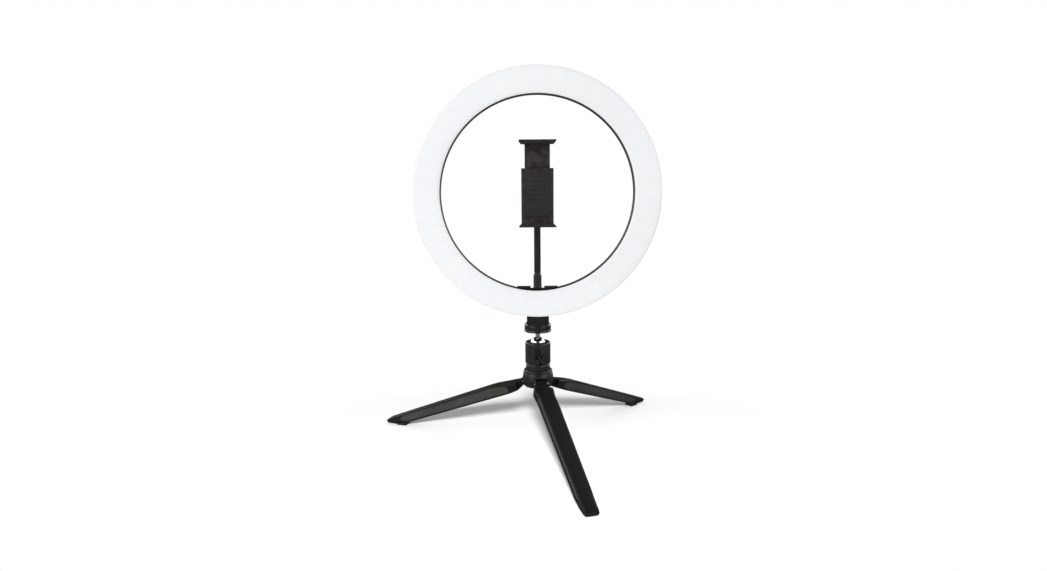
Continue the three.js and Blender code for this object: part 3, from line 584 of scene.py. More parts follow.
def screw(node, x, z, head_r, head_y, head_t, shank_r, tip_y):
    """A pan-head screw along Y, its head towards +Y, with a cross recess."""
    face_y = head_y + head_t
    obj = lathe(node, "steel", [
        (0, tip_y), (shank_r * 0.6, tip_y, 0.05), (shank_r, tip_y + 0.5, 0.05),
        (shank_r, head_y, 0.05), (head_r, head_y, 0.1),
        (head_r, head_y + head_t * 0.55, head_t * 0.35), (head_r * 0.7, face_y, 0.3), (0, face_y),
    ], axis="Y", segs=40, at=(x, 0, z))
    half_long, half_wide, depth = head_r * 0.62, head_r * 0.17, head_t * 0.6
    cut(obj, [
        box(
            (-half_long, face_y - depth, -half_wide), (half_long, face_y + 0.3, half_wide),
            Matrix.Translation((x, 0, z)) @ rotation(angle, "Y"),
        )
        for angle in (25.0, 115.0)
    ], sharp=30)


# ------------------------------------------------------------------ light ring
def on_led_circle(degrees):
    """The point (x, 0, z) at an angle on the LED circle."""
    a = math.radians(degrees)
    return LED_R * math.cos(a), 0, RING_Z + LED_R * math.sin(a)


def rear_groove(radius):
    """A groove in the housing's rear face, from its outer edge to its inner one."""
    return [
        (radius + 0.5, 6.0, 0.12), (radius + 0.3, 5.6, 0.12),
        (radius - 0.3, 5.6, 0.12), (radius - 0.5, 6.0, 0.12),
    ]


# an annular channel open to the front
housing = lathe("rear_housing", "shell", [
    (RING_R, -11.2, 0.25), (RING_R, 1.2, 3.0), (RING_R - 1.6, 5.0, 1.6), (RING_R - 4.6, 6.0, 0.8),
    *rear_groove(124.5),
    *rear_groove(107.5),
    (RING_RI + 4.6, 6.0, 0.8), (RING_RI + 1.6, 5.0, 1.6), (RING_RI, 1.2, 3.0),
    (RING_RI, -11.2, 0.25),
    (RING_RI + 1.8, -11.2, 0.2), (RING_RI + 1.8, 3.0, 0.6), (RING_RI + 3.2, 4.0, 0.3),
    (RING_R - 3.2, 4.0, 0.3), (RING_R - 1.8, 3.0, 0.6), (RING_R - 1.8, -11.2, 0.2),
], axis="Y", segs=240, at=(0, 0, RING_Z), closed=True)

SCREW_HOLE = [(0, 4.9), (2.8, 4.9), (2.8, 5.7), (3.1, 6.4), (3.1, 8), (0, 8)]
KEY_HOLE = [(0, 2), (3.25, 2), (3.25, 5.5), (3.7, 6.2), (3.7, 8), (0, 8)]
holes = [turned(SCREW_HOLE, axis="Y", segs=40, at=on_led_circle(a)) for a in CASE_SCREW_AT]
holes += [turned(KEY_HOLE, axis="Y", segs=48, at=on_led_circle(a)) for a in KEY_AT]
# the socket's opening in the outer rim
holes.append(box(
    (120, 0.3, -4.85), (134, 3.75, 4.85),
    Matrix.Translation((0, 0, RING_Z)) @ rotation(-SOCKET_AT, "Y"),
))
cut(housing, holes)

# a shallow cover over the ring's front, with a lip inside each rim
lathe("diffuser", "diffuser", [
    (RING_RI + 0.25, -11.3, 0.2), (RING_RI + 0.25, -12.5, 0.9), (RING_RI + 2.6, -13.75, 2.2),
    (RING_RI + 8.4, -14.0, 6.0), (RING_R - 8.5, -14.0, 6.0),
    (RING_R - 2.4, -13.75, 2.2), (RING_R - 0.2, -12.5, 0.9), (RING_R - 0.2, -11.3, 0.2),
    (RING_R - 2.1, -11.3), (RING_R - 2.1, -9.6), (RING_R - 3.3, -9.6), (RING_R - 3.3, -12.3),
    (RING_RI + 3.3, -12.3), (RING_RI + 3.3, -9.6), (RING_RI + 2.1, -9.6), (RING_RI + 2.1, -11.3),
], axis="Y", segs=240, at=(0, 0, RING_Z), closed=True, sharp=40)

for angle, node in zip(KEY_AT, KEYS):
    lathe(node, "key", [
        (0, 3.3), (3.9, 3.3, 0.1), (3.9, 3.9, 0.1), (2.95, 3.9, 0.1), (2.95, 6.9, 0.5),
        (2.3, 7.3, 0.4), (1.5, 7.15, 0.6), (0, 7.0),
    ], axis="Y", segs=48, at=on_led_circle(angle))

for i, angle in enumerate(CASE_SCREW_AT):
    x, _, z = on_led_circle(angle)
    screw(
        f"case_screw_{i + 1}", x, z,
        head_r=2.4, head_y=5.0, head_t=0.95, shank_r=1.05, tip_y=-4.5,
    )

# ------------------------------------------------------------------ block, shelf, stalk
refine("mount_block", "gloss", width=0.7, segs=4)
refine("holder_shelf", "gloss", width=0.3, segs=3)

lathe("stalk_sleeve", "black", [
    (0, 165.6), (1.8, 165.6, 0.25), (1.8, 169.3, 0.25), (4.85, 169.3, 0.15), (4.85, 170.2, 0.3),
    (4.35, 170.9, 0.3), (4.35, 183.2, 0.5), (3.95, 184.3, 0.3), (3.65, 184.3, 0.1),
    (3.65, 172.4, 0.25), (0, 172.4),
], segs=64)


def stalk_rod():
    """The rod, necked down into the clamp's ball."""
    neck_r, ball_steps = 2.6, 24
    profile = [
        (0, 172.6), (3.55, 172.6, 0.1), (3.55, 186.2), (3.4, 186.5), (3.4, 187.1), (3.55, 187.4),
        (3.55, 257.0, 1.0), (neck_r, 261.0, 1.0),
    ]
    sweep = 180 - math.degrees(math.asin(neck_r / CLAMP_BALL_R))
    for i in range(ball_steps):
        a = math.radians(sweep - sweep * i / ball_steps)
        profile.append((CLAMP_BALL_R * math.sin(a), CLAMP_BALL_Z + CLAMP_BALL_R * math.cos(a)))
    profile.append((0.0, CLAMP_BALL_Z + CLAMP_BALL_R))
    lathe("stalk_rod", "black", profile, segs=64)


stalk_rod()


# ------------------------------------------------------------------ clamp
def clamp_socket():
    """A cap over the clamp's ball, with a domed bore and a pivot boss on its front."""
    bore_r, mouth_z = 7.35, 269.9
    bm = turned([
        (bore_r, mouth_z), (9.7, mouth_z, 0.2), (9.7, 274.4, 0.2), (10.3, 275.0, 0.3),
        (10.3, 281.2, 1.2), (8.6, 283.0, 0.8), (0, 283.0),
    ], segs=72)
    dome_angles = [math.radians(t) for t in range(0, 90, 9)]
    dome = [(bore_r * math.cos(a), CLAMP_BALL_Z + bore_r * math.sin(a)) for a in dome_angles]
    join(bm, turned([(bore_r, mouth_z), *dome, (0, CLAMP_BALL_Z + bore_r)], segs=72))
    boss = [(0, -11.7), (4.0, -11.7), (4.3, -11.4), (4.3, -8.6), (0, -8.6)]
    join(bm, turned(boss, axis="Y", segs=40, at=(0, 0, CLAMP_PIVOT_Z)))
    bmesh.ops.remove_doubles(bm, verts=bm.verts, dist=1e-6)
    make_piece("clamp_socket", bm, "black")


clamp_socket()

NUT_R = 10.6


def nut_grip(angle, radius, height):
    """24 ribs round the nut's outer wall."""
    depth = 0.5
    if radius < NUT_R - 0.9 or not 266.0 <= height <= 273.3:
        return 0.0
    return depth * (0.5 + 0.5 * math.cos(angle * 24)) ** 2 - depth * 0.5


lathe("clamp_lock_nut", "black", [
    (7.4, 265.2, 0.15), (9.9, 265.2, 0.4), (NUT_R, 266.0, 0.3), (NUT_R, 267.0, 0.1),
    (NUT_R, 269.4), (NUT_R, 271.6), (NUT_R, 273.2, 0.3), (10.2, 274.2, 0.2), (9.85, 274.2, 0.1),
    (9.85, 269.6, 0.1), (5.8, 269.6, 0.05), (4.95, 268.0, 0.2),
], segs=192, closed=True, radius_change=nut_grip)

refine("clamp_body", "jaw", width=0.45, segs=3)
refine("clamp_cover", "jaw", width=0.3, segs=3)
refine("upper_jaw", "jaw", width=0.3, segs=3)

for i, (x, z) in enumerate([(-15, 246), (15, 246), (-15, 290), (15, 290)]):
    screw(
        f"clamp_screw_{i + 1}", x, z,
        head_r=1.2, head_y=-12.6, head_t=0.55, shank_r=0.65, tip_y=-18.2,
    )


def jaw_pad(node, face_z, up):
    """A pad with seven low ridges running along X on its face; up is +1 if that faces +Z."""
    half_x, front_y, rear_y = 14.4, -32.4, -20.8
    thickness, ridges, ridge_height = 1.4, 7, 0.28
    end_step, end_drop = 0.3, 0.25  # the face drops a little at both ends in x
    back_z = face_z - up * thickness
    steps = ridges * 8
    profile = [(front_y, back_z)]
    for k in range(steps + 1):
        t = k / steps
        wave = 0.5 - 0.5 * math.cos(t * ridges * 2 * math.pi)
        hollow = ridge_height * (1 - min(1.0, wave * 1.8))
        profile.append((front_y + (rear_y - front_y) * t, face_z - up * hollow))
    profile.append((rear_y, back_z))

    bm = bmesh.new()
    rows = [
        [add_vert(bm, (x, y, z)) for y, z in profile]
        for x in (-half_x, -half_x + end_step, half_x - end_step, half_x)
    ]
    for row in (rows[0], rows[-1]):
        for v in row[1:-1]:
            v.co.z -= up * end_drop * MM
    loft(bm, rows)
    bm.faces.new(rows[0])
    bm.faces.new(rows[-1][::-1])
    triangulate_large(bm)
    make_piece(node, bm, "rubber", sharp=35)


jaw_pad("lower_pad", LOWER_PAD_Z, up=1)
jaw_pad("upper_pad", UPPER_PAD_Z, up=-1)


def back_pad():
    """A soft sheet with rounded corners and nine raised ribs across its front."""
    half_x, z0, z1, corner_r = 13.5, 246.0, 292.0, 2.4
    middle_z, half_z = (z0 + z1) / 2, (z1 - z0) / 2
    right, top, bottom = half_x - corner_r, z1 - corner_r, z0 + corner_r
    outline = []
    for cx, cz, start in (
        (right, top, 0), (-right, top, 90), (-right, bottom, 180), (right, bottom, 270),
    ):
        for k in range(7):
            a = math.radians(start + 15 * k)
            outline.append((cx + corner_r * math.cos(a), cz + corner_r * math.sin(a)))

    bm = bmesh.new()
    # y of each outline, and how far it is drawn in
    levels = [(-20.05, 0.0), (-20.7, 0.0), (-20.93, 0.12), (-21.0, 0.4)]
    loft(bm, [
        [
            add_vert(bm, (x * (1 - inset / half_x), y, z + (middle_z - z) * inset / half_z))
            for x, z in outline
        ]
        for y, inset in levels
    ], capped=True)
    rib = [
        (0, -10.4), (0.42, -10.2, 0.2), (0.5, -9.6), (0.5, 9.6), (0.42, 10.2, 0.2), (0, 10.4),
    ]
    for k in range(9):
        join(bm, turned(rib, axis="X", segs=16, at=(0, -20.95, 250.0 + k * 4.75)))
    triangulate_large(bm)
    make_piece("back_pad", bm, "rubber", body="clamp", sharp=35)


back_pad()


def spring(node, x):
    """A coil along Z that stretches between the clamp and its jaw."""
    turns, steps_per_turn, sides = 15, 16, 8
    y, z0, z1 = -16.2, 243.3, 291.4
    coil_r, wire_r = 1.5, 0.33
    end_gap = 0.4
    steps = turns * steps_per_turn
    up = Vector((0, 0, 1))
    bm = bmesh.new()
    rings = []
    for i in range(steps + 1):
        t = i / steps
        a = 2 * math.pi * turns * t
        centre = Vector((
            x + coil_r * math.cos(a), y + coil_r * math.sin(a),
            z0 + end_gap + (z1 - z0 - 2 * end_gap) * t,
        ))
        outward = Vector((math.cos(a), math.sin(a), 0))
        ring = []
        for k in range(sides):
            b = 2 * math.pi * k / sides
            offset = outward * wire_r * math.cos(b) + up * wire_r * math.sin(b)
            ring.append(add_vert(bm, centre + offset))
        rings.append(ring)
    loft(bm, rings, capped=True)
    obj = make_object(node, bm, "steel", sharp=60)
    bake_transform(obj)
    mark_replaced(node)


spring("spring_1", -6.2)
spring("spring_2", 6.2)


# ------------------------------------------------------------------ ball head
def ball_stud():
    """The ball, its grooved stem and collar, and a threaded end pointing up."""
    stem_r, ball_steps = 2.5, 32
    sweep = 180 - math.degrees(math.asin(stem_r / BALL_R))
    profile = [(0.0, BALL_Z - BALL_R)]
    for i in range(1, ball_steps + 1):
        a = math.radians(180 - sweep * i / ball_steps)
        profile.append((BALL_R * math.sin(a), BALL_Z + BALL_R * math.cos(a)))
    thread_r, root_r, half_tooth, pitch = 3.175, 2.8, 0.32, 1.27 / 1.4
    profile += [
        (stem_r, 118.6, 0.1), (2.3, 118.8, 0.1), (2.3, 119.3, 0.1), (stem_r, 119.5, 0.1),
        (stem_r, 121.2, 0.1), (4.6, 121.2, 0.1), (4.6, 121.8, 0.1), (thread_r, 121.8),
    ]
    z = 122.6
    while z < 137.4:
        profile += [(thread_r, z), (root_r, z + half_tooth), (thread_r, z + 2 * half_tooth)]
        z += pitch
    profile += [(thread_r, 137.8), (2.4, 138.4), (0, 138.4)]
    lathe("ball_stud", "chrome", profile, segs=96, sharp=30)


ball_stud()

lathe("lock_disc", "gloss", [
    (3.5, 122.1, 0.1), (14.1, 122.1, 0.3), (14.8, 122.8, 0.35), (14.55, 123.9, 0.3),
    (14.4, 124.3, 0.1), (14.25, 124.5, 0.1), (14.25, 124.8, 0.1), (14.4, 125.0, 0.1),
    (14.3, 129.4, 0.3), (13.1, 131.0, 0.5), (3.5, 131.0, 0.1),
], segs=120, closed=True)

lathe("platform_pad", "rubber", [
    (3.6, 131.05, 0.05), (12.6, 131.05, 0.1), (12.6, 132.0, 0.25), (11.5, 132.0, 0.05),
    (11.2, 131.8, 0.05), (10.6, 131.8, 0.05), (10.3, 132.0, 0.05), (3.6, 132.0, 0.05),
], segs=96, closed=True)

ball_seat = [
    (math.sqrt(BALL_SEAT_R ** 2 - (z - BALL_Z) ** 2), z) for z in (110.2, 109.4, 108.6, 107.5)
]
head_housing = lathe("ballhead_housing", "head", [
    (9.3, 87.0, 0.1), (13.2, 87.0, 0.3), (13.8, 87.7, 0.3), (13.8, 109.2, 0.8),
    (12.9, 110.7, 0.6), (11.8, 111.0, 0.25), (9.4, 111.0, 0.2), (8.5, 110.7, 0.15),
    *ball_seat, (9.3, 105.0, 0.2),
], segs=144, closed=True)
WING_BORE = [(0, -16), (2.95, -16), (2.95, -8), (0, -8)]
cut(head_housing, [turned(WING_BORE, axis="Y", segs=40, at=(0, 0, WING_Z))])

lathe("ballhead_base", "head", [
    (2.6, 74.3, 0.1), (12.5, 74.3, 0.3), (13.1, 75.0, 0.3), (13.1, 85.4, 0.4),
    (12.4, 86.8, 0.4), (9.1, 86.8, 0.1), (9.1, 91.4, 0.2), (0, 91.4, 0.1), (0, 85.0, 0.1),
    (2.6, 85.0, 0.1),
], segs=120, closed=True)


# ------------------------------------------------------------------ wing screw
def close_with_dish(bm, ring, side):
    """Closes an oval ring facing side * X with a shallow hollow."""
    centre = sum((v.co for v in ring), Vector()) / len(ring)
    previous = ring
    # scale of the oval, and depth of the hollow there
    for scale, depth in ((0.82, 0.0), (0.72, 0.25), (0.45, 0.4), (0.2, 0.42)):
        inner = []
        for v in ring:
            point = centre + (v.co - centre) * scale
            point.x = v.co.x * scale + ring[0].co.x * (1 - scale) - side * depth * MM
            inner.append(bm.verts.new(point))
        bridge(bm, previous, inner)
        previous = inner
    bm.faces.new(previous)


def wing_paddle():
    """A flat oval paddle across X, thicker towards its upper and lower ends."""
    half_y, half_z, middle_y, segs = 4.6, 9.5, -20.4, 72
    # x of each oval, and how far it is drawn in
    levels = [
        (-1.7, 1.3), (-1.62, 0.75), (-1.35, 0.3), (-0.95, 0.05), (0.0, 0.0),
        (0.95, 0.05), (1.35, 0.3), (1.62, 0.75), (1.7, 1.3),
    ]
    bm = bmesh.new()
    rings = []
    for x, inset in levels:
        ring = []
        for k in range(segs):
            a = 2 * math.pi * k / segs
            cos_a, sin_a = math.cos(a), math.sin(a)
            y = middle_y - (half_y - inset) * math.copysign(abs(cos_a) ** 0.75, cos_a)
            z = (half_z - inset) * math.copysign(abs(sin_a) ** 0.8, sin_a)
            swell = 0.72 + 0.28 * min(1.0, (abs(z) / 8.0) ** 2)
            ring.append(add_vert(bm, (x * swell, y, z + WING_Z)))
        rings.append(ring)
    loft(bm, rings)
    close_with_dish(bm, rings[0], side=-1)
    close_with_dish(bm, rings[-1], side=1)
    return bm


def wing_screw():
    """A turned boss and its paddle, tilted about the boss's axis."""
    bm = turned([
        (0, -10.9), (2.45, -10.9), (2.45, -14.3), (4.4, -14.3, 0.3), (4.4, -16.4, 0.5),
        (3.1, -18.0, 1.0), (1.6, -18.6, 0.5), (0, -18.6),
    ], axis="Y", segs=48, at=(0, 0, WING_Z))
    join(bm, wing_paddle())
    up = Vector((0, 0, WING_Z * MM))
    tilt = Matrix.Translation(up) @ rotation(-WING_TILT, "Y") @ Matrix.Translation(-up)
    for v in bm.verts:
        v.co = tilt @ v.co
    triangulate_large(bm)
    make_piece("wing_screw", bm, "wing", body="wing", sharp=40)


wing_screw()

# ------------------------------------------------------------------ hub
hub = lathe("hub_body", "head", [
    (4.8, 61.4, 0.15), (14.4, 61.4, 0.5), (15.9, 62.8, 0.9), (17.1, 68.6, 1.5),
    (16.4, 74.5, 0.8), (15.85, 77.0, 0.25), (15.45, 77.3, 0.15), (15.45, 77.7, 0.15),
    (15.75, 78.0, 0.2), (15.6, 79.2, 0.5), (14.9, 80.0, 0.4), (13.7, 80.0, 0.25),
    (13.3, 79.6, 0.2), (13.3, 74.0, 0.1), (2.7, 74.0, 0.1), (2.7, 66.0, 0.05),
    (4.8, 66.0, 0.05),
], segs=144, closed=True)

# a slot and a pin bore for each leg
PIN_BORE = [(0, -8.0), (1.62, -8.0), (1.62, 8.0), (0, 8.0)]
leg_cutters = []
for azimuth in LEG_AT:
    turn = rotation(azimuth, "Z")
    leg_cutters.append(box((8.4, -6.3, 60.0), (20, 6.3, 72.7), turn))
    bore = turned(PIN_BORE, axis="Y", segs=24, at=(LEG_PIVOT_R, 0, LEG_PIVOT_Z))
    for v in bore.verts:
        v.co = turn @ v.co
    leg_cutters.append(bore)
cut(hub, leg_cutters)

lathe("hub_bottom_cap", "black", [
    (0, 59.3), (6.0, 59.3, 0.4), (7.2, 60.2, 0.4), (7.2, 61.3, 0.1), (4.6, 61.3, 0.1),
    (4.6, 62.2, 0.1), (0, 62.2),
], segs=64)

# ------------------------------------------------------------------ legs
# A leg is drawn with s along it from its pivot, y across it and z upwards from its centre line.
# Each table is (s, value).
KNUCKLE_R = 3.9
KNUCKLE_END = 1.95
LEG_HALF_WIDTH = [
    (-KNUCKLE_R, 6.0), (7.6, 6.0), (8.2, 6.35), (8.8, 8.6), (9.3, 10.3), (10.0, 10.75),
    (12.0, 10.9), (15.0, 10.7), (19.0, 9.95), (23.0, 9.4), (27.0, 9.0), (LEG_LEN, 6.95),
    (LEG_LEN + 2.2, 6.85), (LEG_LEN + 3.6, 6.45), (LEG_LEN + 4.5, 5.7), (LEG_LEN + 5, 4.8),
]
LEG_TOP = [
    (KNUCKLE_END, 3.38), (9.0, 1.45), (12.0, 1.75), (20.0, 2.75), (27.0, 3.75), (34.0, 4.6),
    (42.0, 5.1), (LEG_LEN - 6, 6.3), (LEG_LEN + 1.0, 6.4), (LEG_LEN + 3.0, 6.2),
    (LEG_LEN + 4.2, 5.75), (LEG_LEN + 4.8, 5.2), (LEG_LEN + 5, 4.8),
]
LEG_BOTTOM = [
    (0.0, -3.9), (8.0, -4.9), (8.8, -6.2), (9.6, -7.4), (19.0, -8.3), (27.0, -8.4),
    (157.5, -4.75), (173.0, -1.1), (LEG_LEN + 1.5, 1.8), (LEG_LEN + 3.8, 2.75),
    (LEG_LEN + 4.6, 3.3), (LEG_LEN + 5, 3.9),
]
# the long pocket in each side: its ends, its depth, and its lower and upper edges
POCKET_START, POCKET_END, POCKET_DEPTH = 20.2, 166.2, 1.7
POCKET_LOW = [
    (20.2, -3.7), (20.4, -4.5), (21.0, -5.5), (22.0, -6.4), (23.4, -7.0), (26.0, -7.3),
    (157.0, -3.5), (160.0, -2.8), (163.0, -1.8), (164.8, -0.4), (165.9, 0.9), (166.2, 2.0),
]
POCKET_HIGH = [
    (20.2, -3.5), (20.4, -2.6), (21.2, -1.2), (22.4, 0.0), (24.2, 1.1), (28.0, 2.2),
    (36.0, 3.4), (44.0, 3.9), (157.0, 4.85), (160.0, 4.75), (163.0, 4.3), (164.8, 3.6),
    (165.9, 2.8), (166.2, 2.1),
]
# where the cross-sections stand along the leg
STATIONS = [
    -3.9, -3.8, -3.5, -2.9, -2.0, -0.8, 0.6, 1.95, 4.0, 6.0, 7.6, 8.2, 8.5, 8.8, 9.05, 9.3,
    9.6, 10.0, 11, 12, 13.5, 15, 17, 19, 19.9, 20.2, 20.3, 20.45, 20.7, 21.1, 21.7, 22.5,
    23.5, 24.8, 26.4, 28.5, 31, 34, 38, 42,
    *range(49, 152, 7),
    155, 157, 159, 160.5, 162, 163.3, 164.3, 165.1, 165.7, 166.0, 166.2, 166.8, 168, 170,
    172.5, 175, 177,
    *(LEG_LEN + d for d in (0.4, 1.5, 2.4, 3.2, 3.8, 4.3, 4.7, 4.9, 5)),
]


def smooth_step(start, end, x):
    t = max(0.0, min(1.0, (x - start) / (end - start)))
    return t * t * (3 - 2 * t)


def interpolate(table, x):
    if x <= table[0][0]:
        return table[0][1]
    for (x0, y0), (x1, y1) in zip(table, table[1:]):
        if x <= x1:
            return y0 + (y1 - y0) * (x - x0) / (x1 - x0)
    return table[-1][1]


def leg_section(s):
    """The 60 points (y, z) of the cross-section at s, from the lower end of its +y side."""
    half = interpolate(LEG_HALF_WIDTH, s)
    if s < KNUCKLE_END:
        top = math.sqrt(max(0.05, KNUCKLE_R ** 2 - s * s))
        bottom = -top if s < 0 else interpolate(LEG_BOTTOM, s)
    else:
        top, bottom = interpolate(LEG_TOP, s), interpolate(LEG_BOTTOM, s)
    if POCKET_START <= s <= POCKET_END:
        low, high = interpolate(POCKET_LOW, s), interpolate(POCKET_HIGH, s)
        depth = POCKET_DEPTH * min(1.0, (high - low) / 2.4)
    else:
        middle = (top + bottom) / 2
        low, high, depth = middle - 0.1, middle + 0.1, 0.0

    corner_r = min(1.35 * smooth_step(6, 12, s) + 0.45, 0.42 * (top - bottom), half * 0.4)
    top_r = min(corner_r, max(0.3, top - high - 0.25))
    bottom_r = min(corner_r * 0.7, max(0.3, low - bottom - 0.25))
    crown = 0.45 * smooth_step(9, 20, s) * (1 - smooth_step(LEG_LEN - 1, LEG_LEN + 4, s))
    wall = min(0.55, (high - low) * 0.28)  # height of the pocket's sloping walls
    lip_y = half - 0.12 * min(1, depth)
    slope_y, floor_y = half - depth * 0.86, half - depth

    side = [
        (half, bottom + bottom_r), (half, low - 0.05), (lip_y, low + 0.03),
        (slope_y, low + wall * 0.6), (floor_y, low + wall),
        (floor_y, high - wall), (slope_y, high - wall * 0.6),
        (lip_y, high - 0.03), (half, high + 0.05), (half, top - top_r),
    ]
    top_arc, bottom_arc = [], []
    for k in range(1, 6):
        a = math.radians(90 * k / 6)
        cos_a, sin_a = math.cos(a), math.sin(a)
        top_arc.append((half - top_r + top_r * cos_a, top - top_r + top_r * sin_a))
        bottom_arc.append(
            (half - bottom_r + bottom_r * cos_a, bottom + bottom_r - bottom_r * sin_a)
        )
    across = [1 - 2 * k / 9 for k in range(10)]
    top_ys = [(half - top_r) * t for t in across]
    top_edge = [(y, top + crown * (1 - (y / half) ** 2)) for y in top_ys]
    bottom_edge = [(-(half - bottom_r) * t, bottom) for t in across]

    def mirrored(points):
        return [(-y, z) for y, z in points]

    return (
        side + top_arc + top_edge + mirrored(top_arc[::-1]) + mirrored(side[::-1])
        + mirrored(bottom_arc) + bottom_edge + bottom_arc[::-1]
    )


def is_lit_side(start, end, k):
    """Whether side k of the section between two stations gets the lighter copy of the leg plastic,
    which is painted light from the front.
    """
    if start >= POCKET_START and end <= POCKET_END:
        return 3 <= k <= 5 or 33 <= k <= 35  # the pocket's floor and the walls next to it
    if start >= POCKET_END and end <= LEG_LEN + 2.5:
        return 1 <= k <= 7 or 31 <= k <= 37  # the sides beyond the pocket
    return False


def leg(node, azimuth):
    bm = bmesh.new()
    rings = [[bm.verts.new((s, y, z)) for y, z in leg_section(s)] for s in STATIONS]
    for first, second, start, end in zip(rings, rings[1:], STATIONS, STATIONS[1:]):
        for k, face in enumerate(bridge(bm, first, second)):
            if is_lit_side(start, end, k):
                face.material_index = 1
    bm.faces.new(rings[0][::-1])
    bm.faces.new(rings[-1])
    pivot = Matrix.Translation((LEG_PIVOT_R, 0, LEG_PIVOT_Z))
    place = rotation(azimuth, "Z") @ pivot @ rotation(LEG_SLOPE, "Y")
    for v in bm.verts:
        v.co = (place @ v.co) * MM
    triangulate_large(bm)
    obj = make_piece(node, bm, "leg", body=node, sharp=28)
    # second slot: the lighter copy of the leg plastic, painted light on the sides
    obj.data.materials.append(MATERIALS["lit_side"])


for i, azimuth in enumerate(LEG_AT):
    leg(f"leg_{i + 1}", azimuth)
    refine(f"foot_pad_{i + 1}", "rubber", width=0.3, segs=3)

# ------------------------------------------------------------------ pieces that keep their CAD mesh
for node, obj in NODES.items():
    if node in REPLACED:
        continue
    material = MATERIALS[SLOT_MATERIAL[SLOT_OF[node]]]
    if not obj.material_slots:
        obj.data.materials.append(material)
    for slot in obj.material_slots:
        slot.link = "OBJECT"
        slot.material = material
    shade(obj.data, 35)


# ------------------------------------------------------------------ floor, in metres
def floor_material():
    """Pale and matt near the stand, fading into the white backdrop, and dim in reflections."""
    material, g = start_material("pale_floor")
    matt = g.principled({
        "Base Color": g.mix(g.noise(scale=3.0), (0.90, 0.90, 0.90), (0.93, 0.93, 0.93)),
        "Roughness": 0.9,
        "Specular IOR Level": 0.1,
    })
    x, y, _ = g.separate(g.coord)
    dx = g.math("SUBTRACT", x, SHIFT.x)
    dy = g.math("SUBTRACT", y, SHIFT.y)
    # distance behind the stand counts 1.5 times, so the fade comes sooner there and the glowing
    # white hides the ring's cast shadow
    dy = g.math("MAXIMUM", g.math("MULTIPLY", dy, 1.5), g.math("MULTIPLY", dy, -1.0))
    squares = g.math("ADD", g.math("MULTIPLY", dx, dx), g.math("MULTIPLY", dy, dy))
    far = g.ramp(g.math("SQRT", squares), (0.185, 0.0), (0.33, 1.0), interpolation="EASE")
    faded = g.mix_shader(far, matt, g.white("Emission", strength=1.0))
    is_glossy = g.add("ShaderNodeLightPath").outputs["Is Glossy Ray"]
    g.output(g.mix_shader(is_glossy, faded, g.white("Emission", strength=0.16)))
    return material


def make_floor():
    """A flat disc about the frame's origin."""
    bm = bmesh.new()
    angles = [2 * math.pi * k / 96 for k in range(96)]
    rings = [
        [bm.verts.new((radius * math.cos(a), radius * math.sin(a), 0)) for a in angles]
        for radius in (0.15, 0.3, 0.6, 1.2, 2.4, 5.0)
    ]
    loft(bm, rings)
    bm.faces.new(rings[0])
    obj = add_object("floor", take_mesh("floor", bm))
    obj.data.materials.append(floor_material())
    return obj


floor = make_floor()


# ------------------------------------------------------------------ world
def light_world(even, room, softbox):
    """White to the camera; a dim room with two tall soft boxes to reflections; even otherwise."""
    world = scene.world or bpy.data.worlds.new("studio")
    scene.world = world
    world.use_nodes = True
    g = Graph(world.node_tree)
    path = g.add("ShaderNodeLightPath").outputs
    x, _, z = g.separate(g.add("ShaderNodeTexCoord").outputs["Generated"])
    # the soft boxes' extent to either side and in height
    aside = g.ramp(
        g.math("ABSOLUTE", x), (0.34, 0.0), (0.50, 1.0), (0.86, 1.0), (0.97, 0.25),
    )
    height = g.ramp(
        g.math("MULTIPLY_ADD", z, 0.5, 0.5), (0.36, 0.0), (0.44, 1.0), (0.80, 1.0), (0.90, 0.0),
    )
    reflected = g.math("MULTIPLY_ADD", g.math("MULTIPLY", aside, height), softbox, room)
    unseen = g.mix_shader(
        path["Is Glossy Ray"], g.white("Background", even), g.white("Background", reflected),
    )
    g.output(
        g.mix_shader(path["Is Camera Ray"], unseen, g.white("Background", 1.0)), kind="World",
    )


light_world(even=0.40, room=0.05, softbox=2.0)


# ------------------------------------------------------------------ lamps
def area_lamp(name, at, target, size, power):
    """A rectangular lamp; places and sizes in metres from the stand's foot, power in watts."""
    light = bpy.data.lights.new(name, "AREA")
    light.shape = "RECTANGLE"
    light.size, light.size_y = size
    light.energy = power
    lamp = add_object(name, light)
    at, target = Vector(at) + SHIFT, Vector(target) + SHIFT
    lamp.location = at
    lamp.rotation_mode = "QUATERNION"
    lamp.rotation_quaternion = (target - at).to_track_quat("-Z", "Y")
    lamp.visible_glossy = False
    return lamp


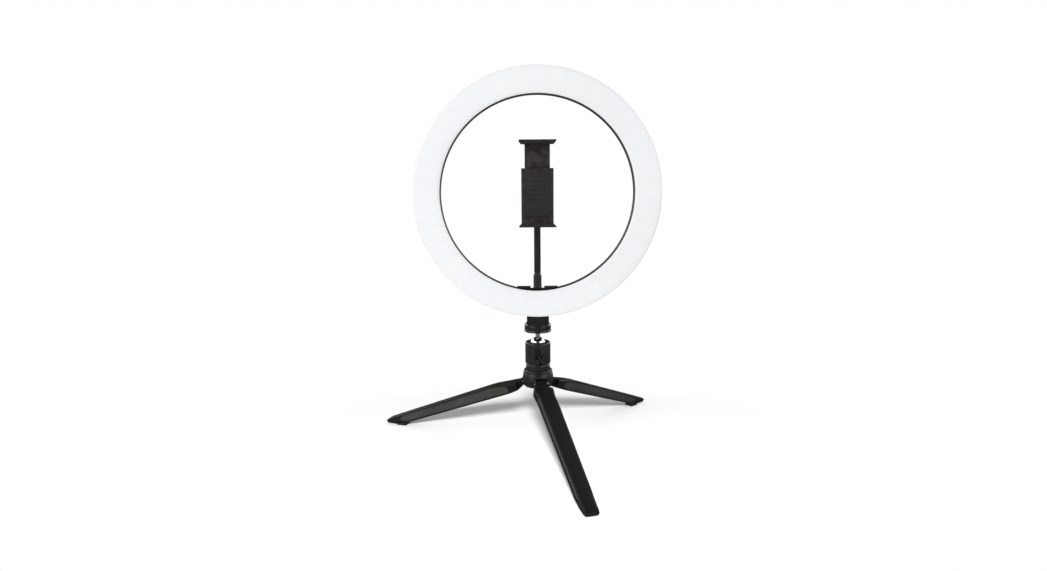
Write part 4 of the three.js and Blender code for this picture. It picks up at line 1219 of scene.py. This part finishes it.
object_lamps = [
    area_lamp("key", at=(-0.65, -1.28, 0.76), target=(0, 0, 0.10), size=(0.42, 0.42), power=16.5),
    area_lamp("top", at=(0.05, 0.1, 1.7), target=(0, 0, 0.0), size=(1.6, 1.2), power=6.0),
    area_lamp("back", at=(0.62, 1.25, 0.75), target=(0, 0, 0.15), size=(0.60, 0.60), power=16.0),
]
floor_lamp = area_lamp(
    "sweep", at=(-0.03, -1.30, 0.76), target=(0, 0, 0), size=(0.20, 0.16), power=37.0,
)

# the sweep lamp lights only the floor, the others light everything but the floor
floor_only = bpy.data.collections.new("floor_only")
floor_only.objects.link(floor)
floor_lamp.light_linking.receiver_collection = floor_only
object_only = bpy.data.collections.new("object_only")
object_only.objects.link(floor)
object_only.collection_objects[0].light_linking.link_state = "EXCLUDE"
for lamp in object_lamps:
    lamp.light_linking.receiver_collection = object_only


# ------------------------------------------------------------------ camera
def add_camera(x, y, z, yaw, pitch, roll, lens):
    """A camera looking towards +Y and down by pitch; place in mm, angles in degrees."""
    yaw, pitch, roll = math.radians(yaw), math.radians(pitch), math.radians(roll)
    forward = Vector((
        math.sin(yaw) * math.cos(pitch), math.cos(yaw) * math.cos(pitch), -math.sin(pitch),
    ))
    level_right = Vector((math.cos(yaw), -math.sin(yaw), 0))
    level_up = level_right.cross(forward)
    right = level_right * math.cos(roll) + level_up * math.sin(roll)
    up = -level_right * math.sin(roll) + level_up * math.cos(roll)
    data = bpy.data.cameras.new("camera")
    camera = add_object("camera", data)
    data.sensor_width = 36.0
    data.lens = lens
    data.clip_start, data.clip_end = 0.01, 50
    camera.matrix_world = Matrix((
        (right.x, up.x, -forward.x, (x + ORIGIN_X) * MM),
        (right.y, up.y, -forward.y, (y + ORIGIN_Y) * MM),
        (right.z, up.z, -forward.z, z * MM),
        (0, 0, 0, 1),
    ))
    scene.camera = camera


add_camera(x=-14.67, y=-682.08, z=266.46, yaw=-0.04, pitch=7.86, roll=-0.47, lens=21.940401)
scene.view_settings.view_transform = "Standard"
scene.view_settings.look = "None"
scene.view_settings.exposure = 0.0
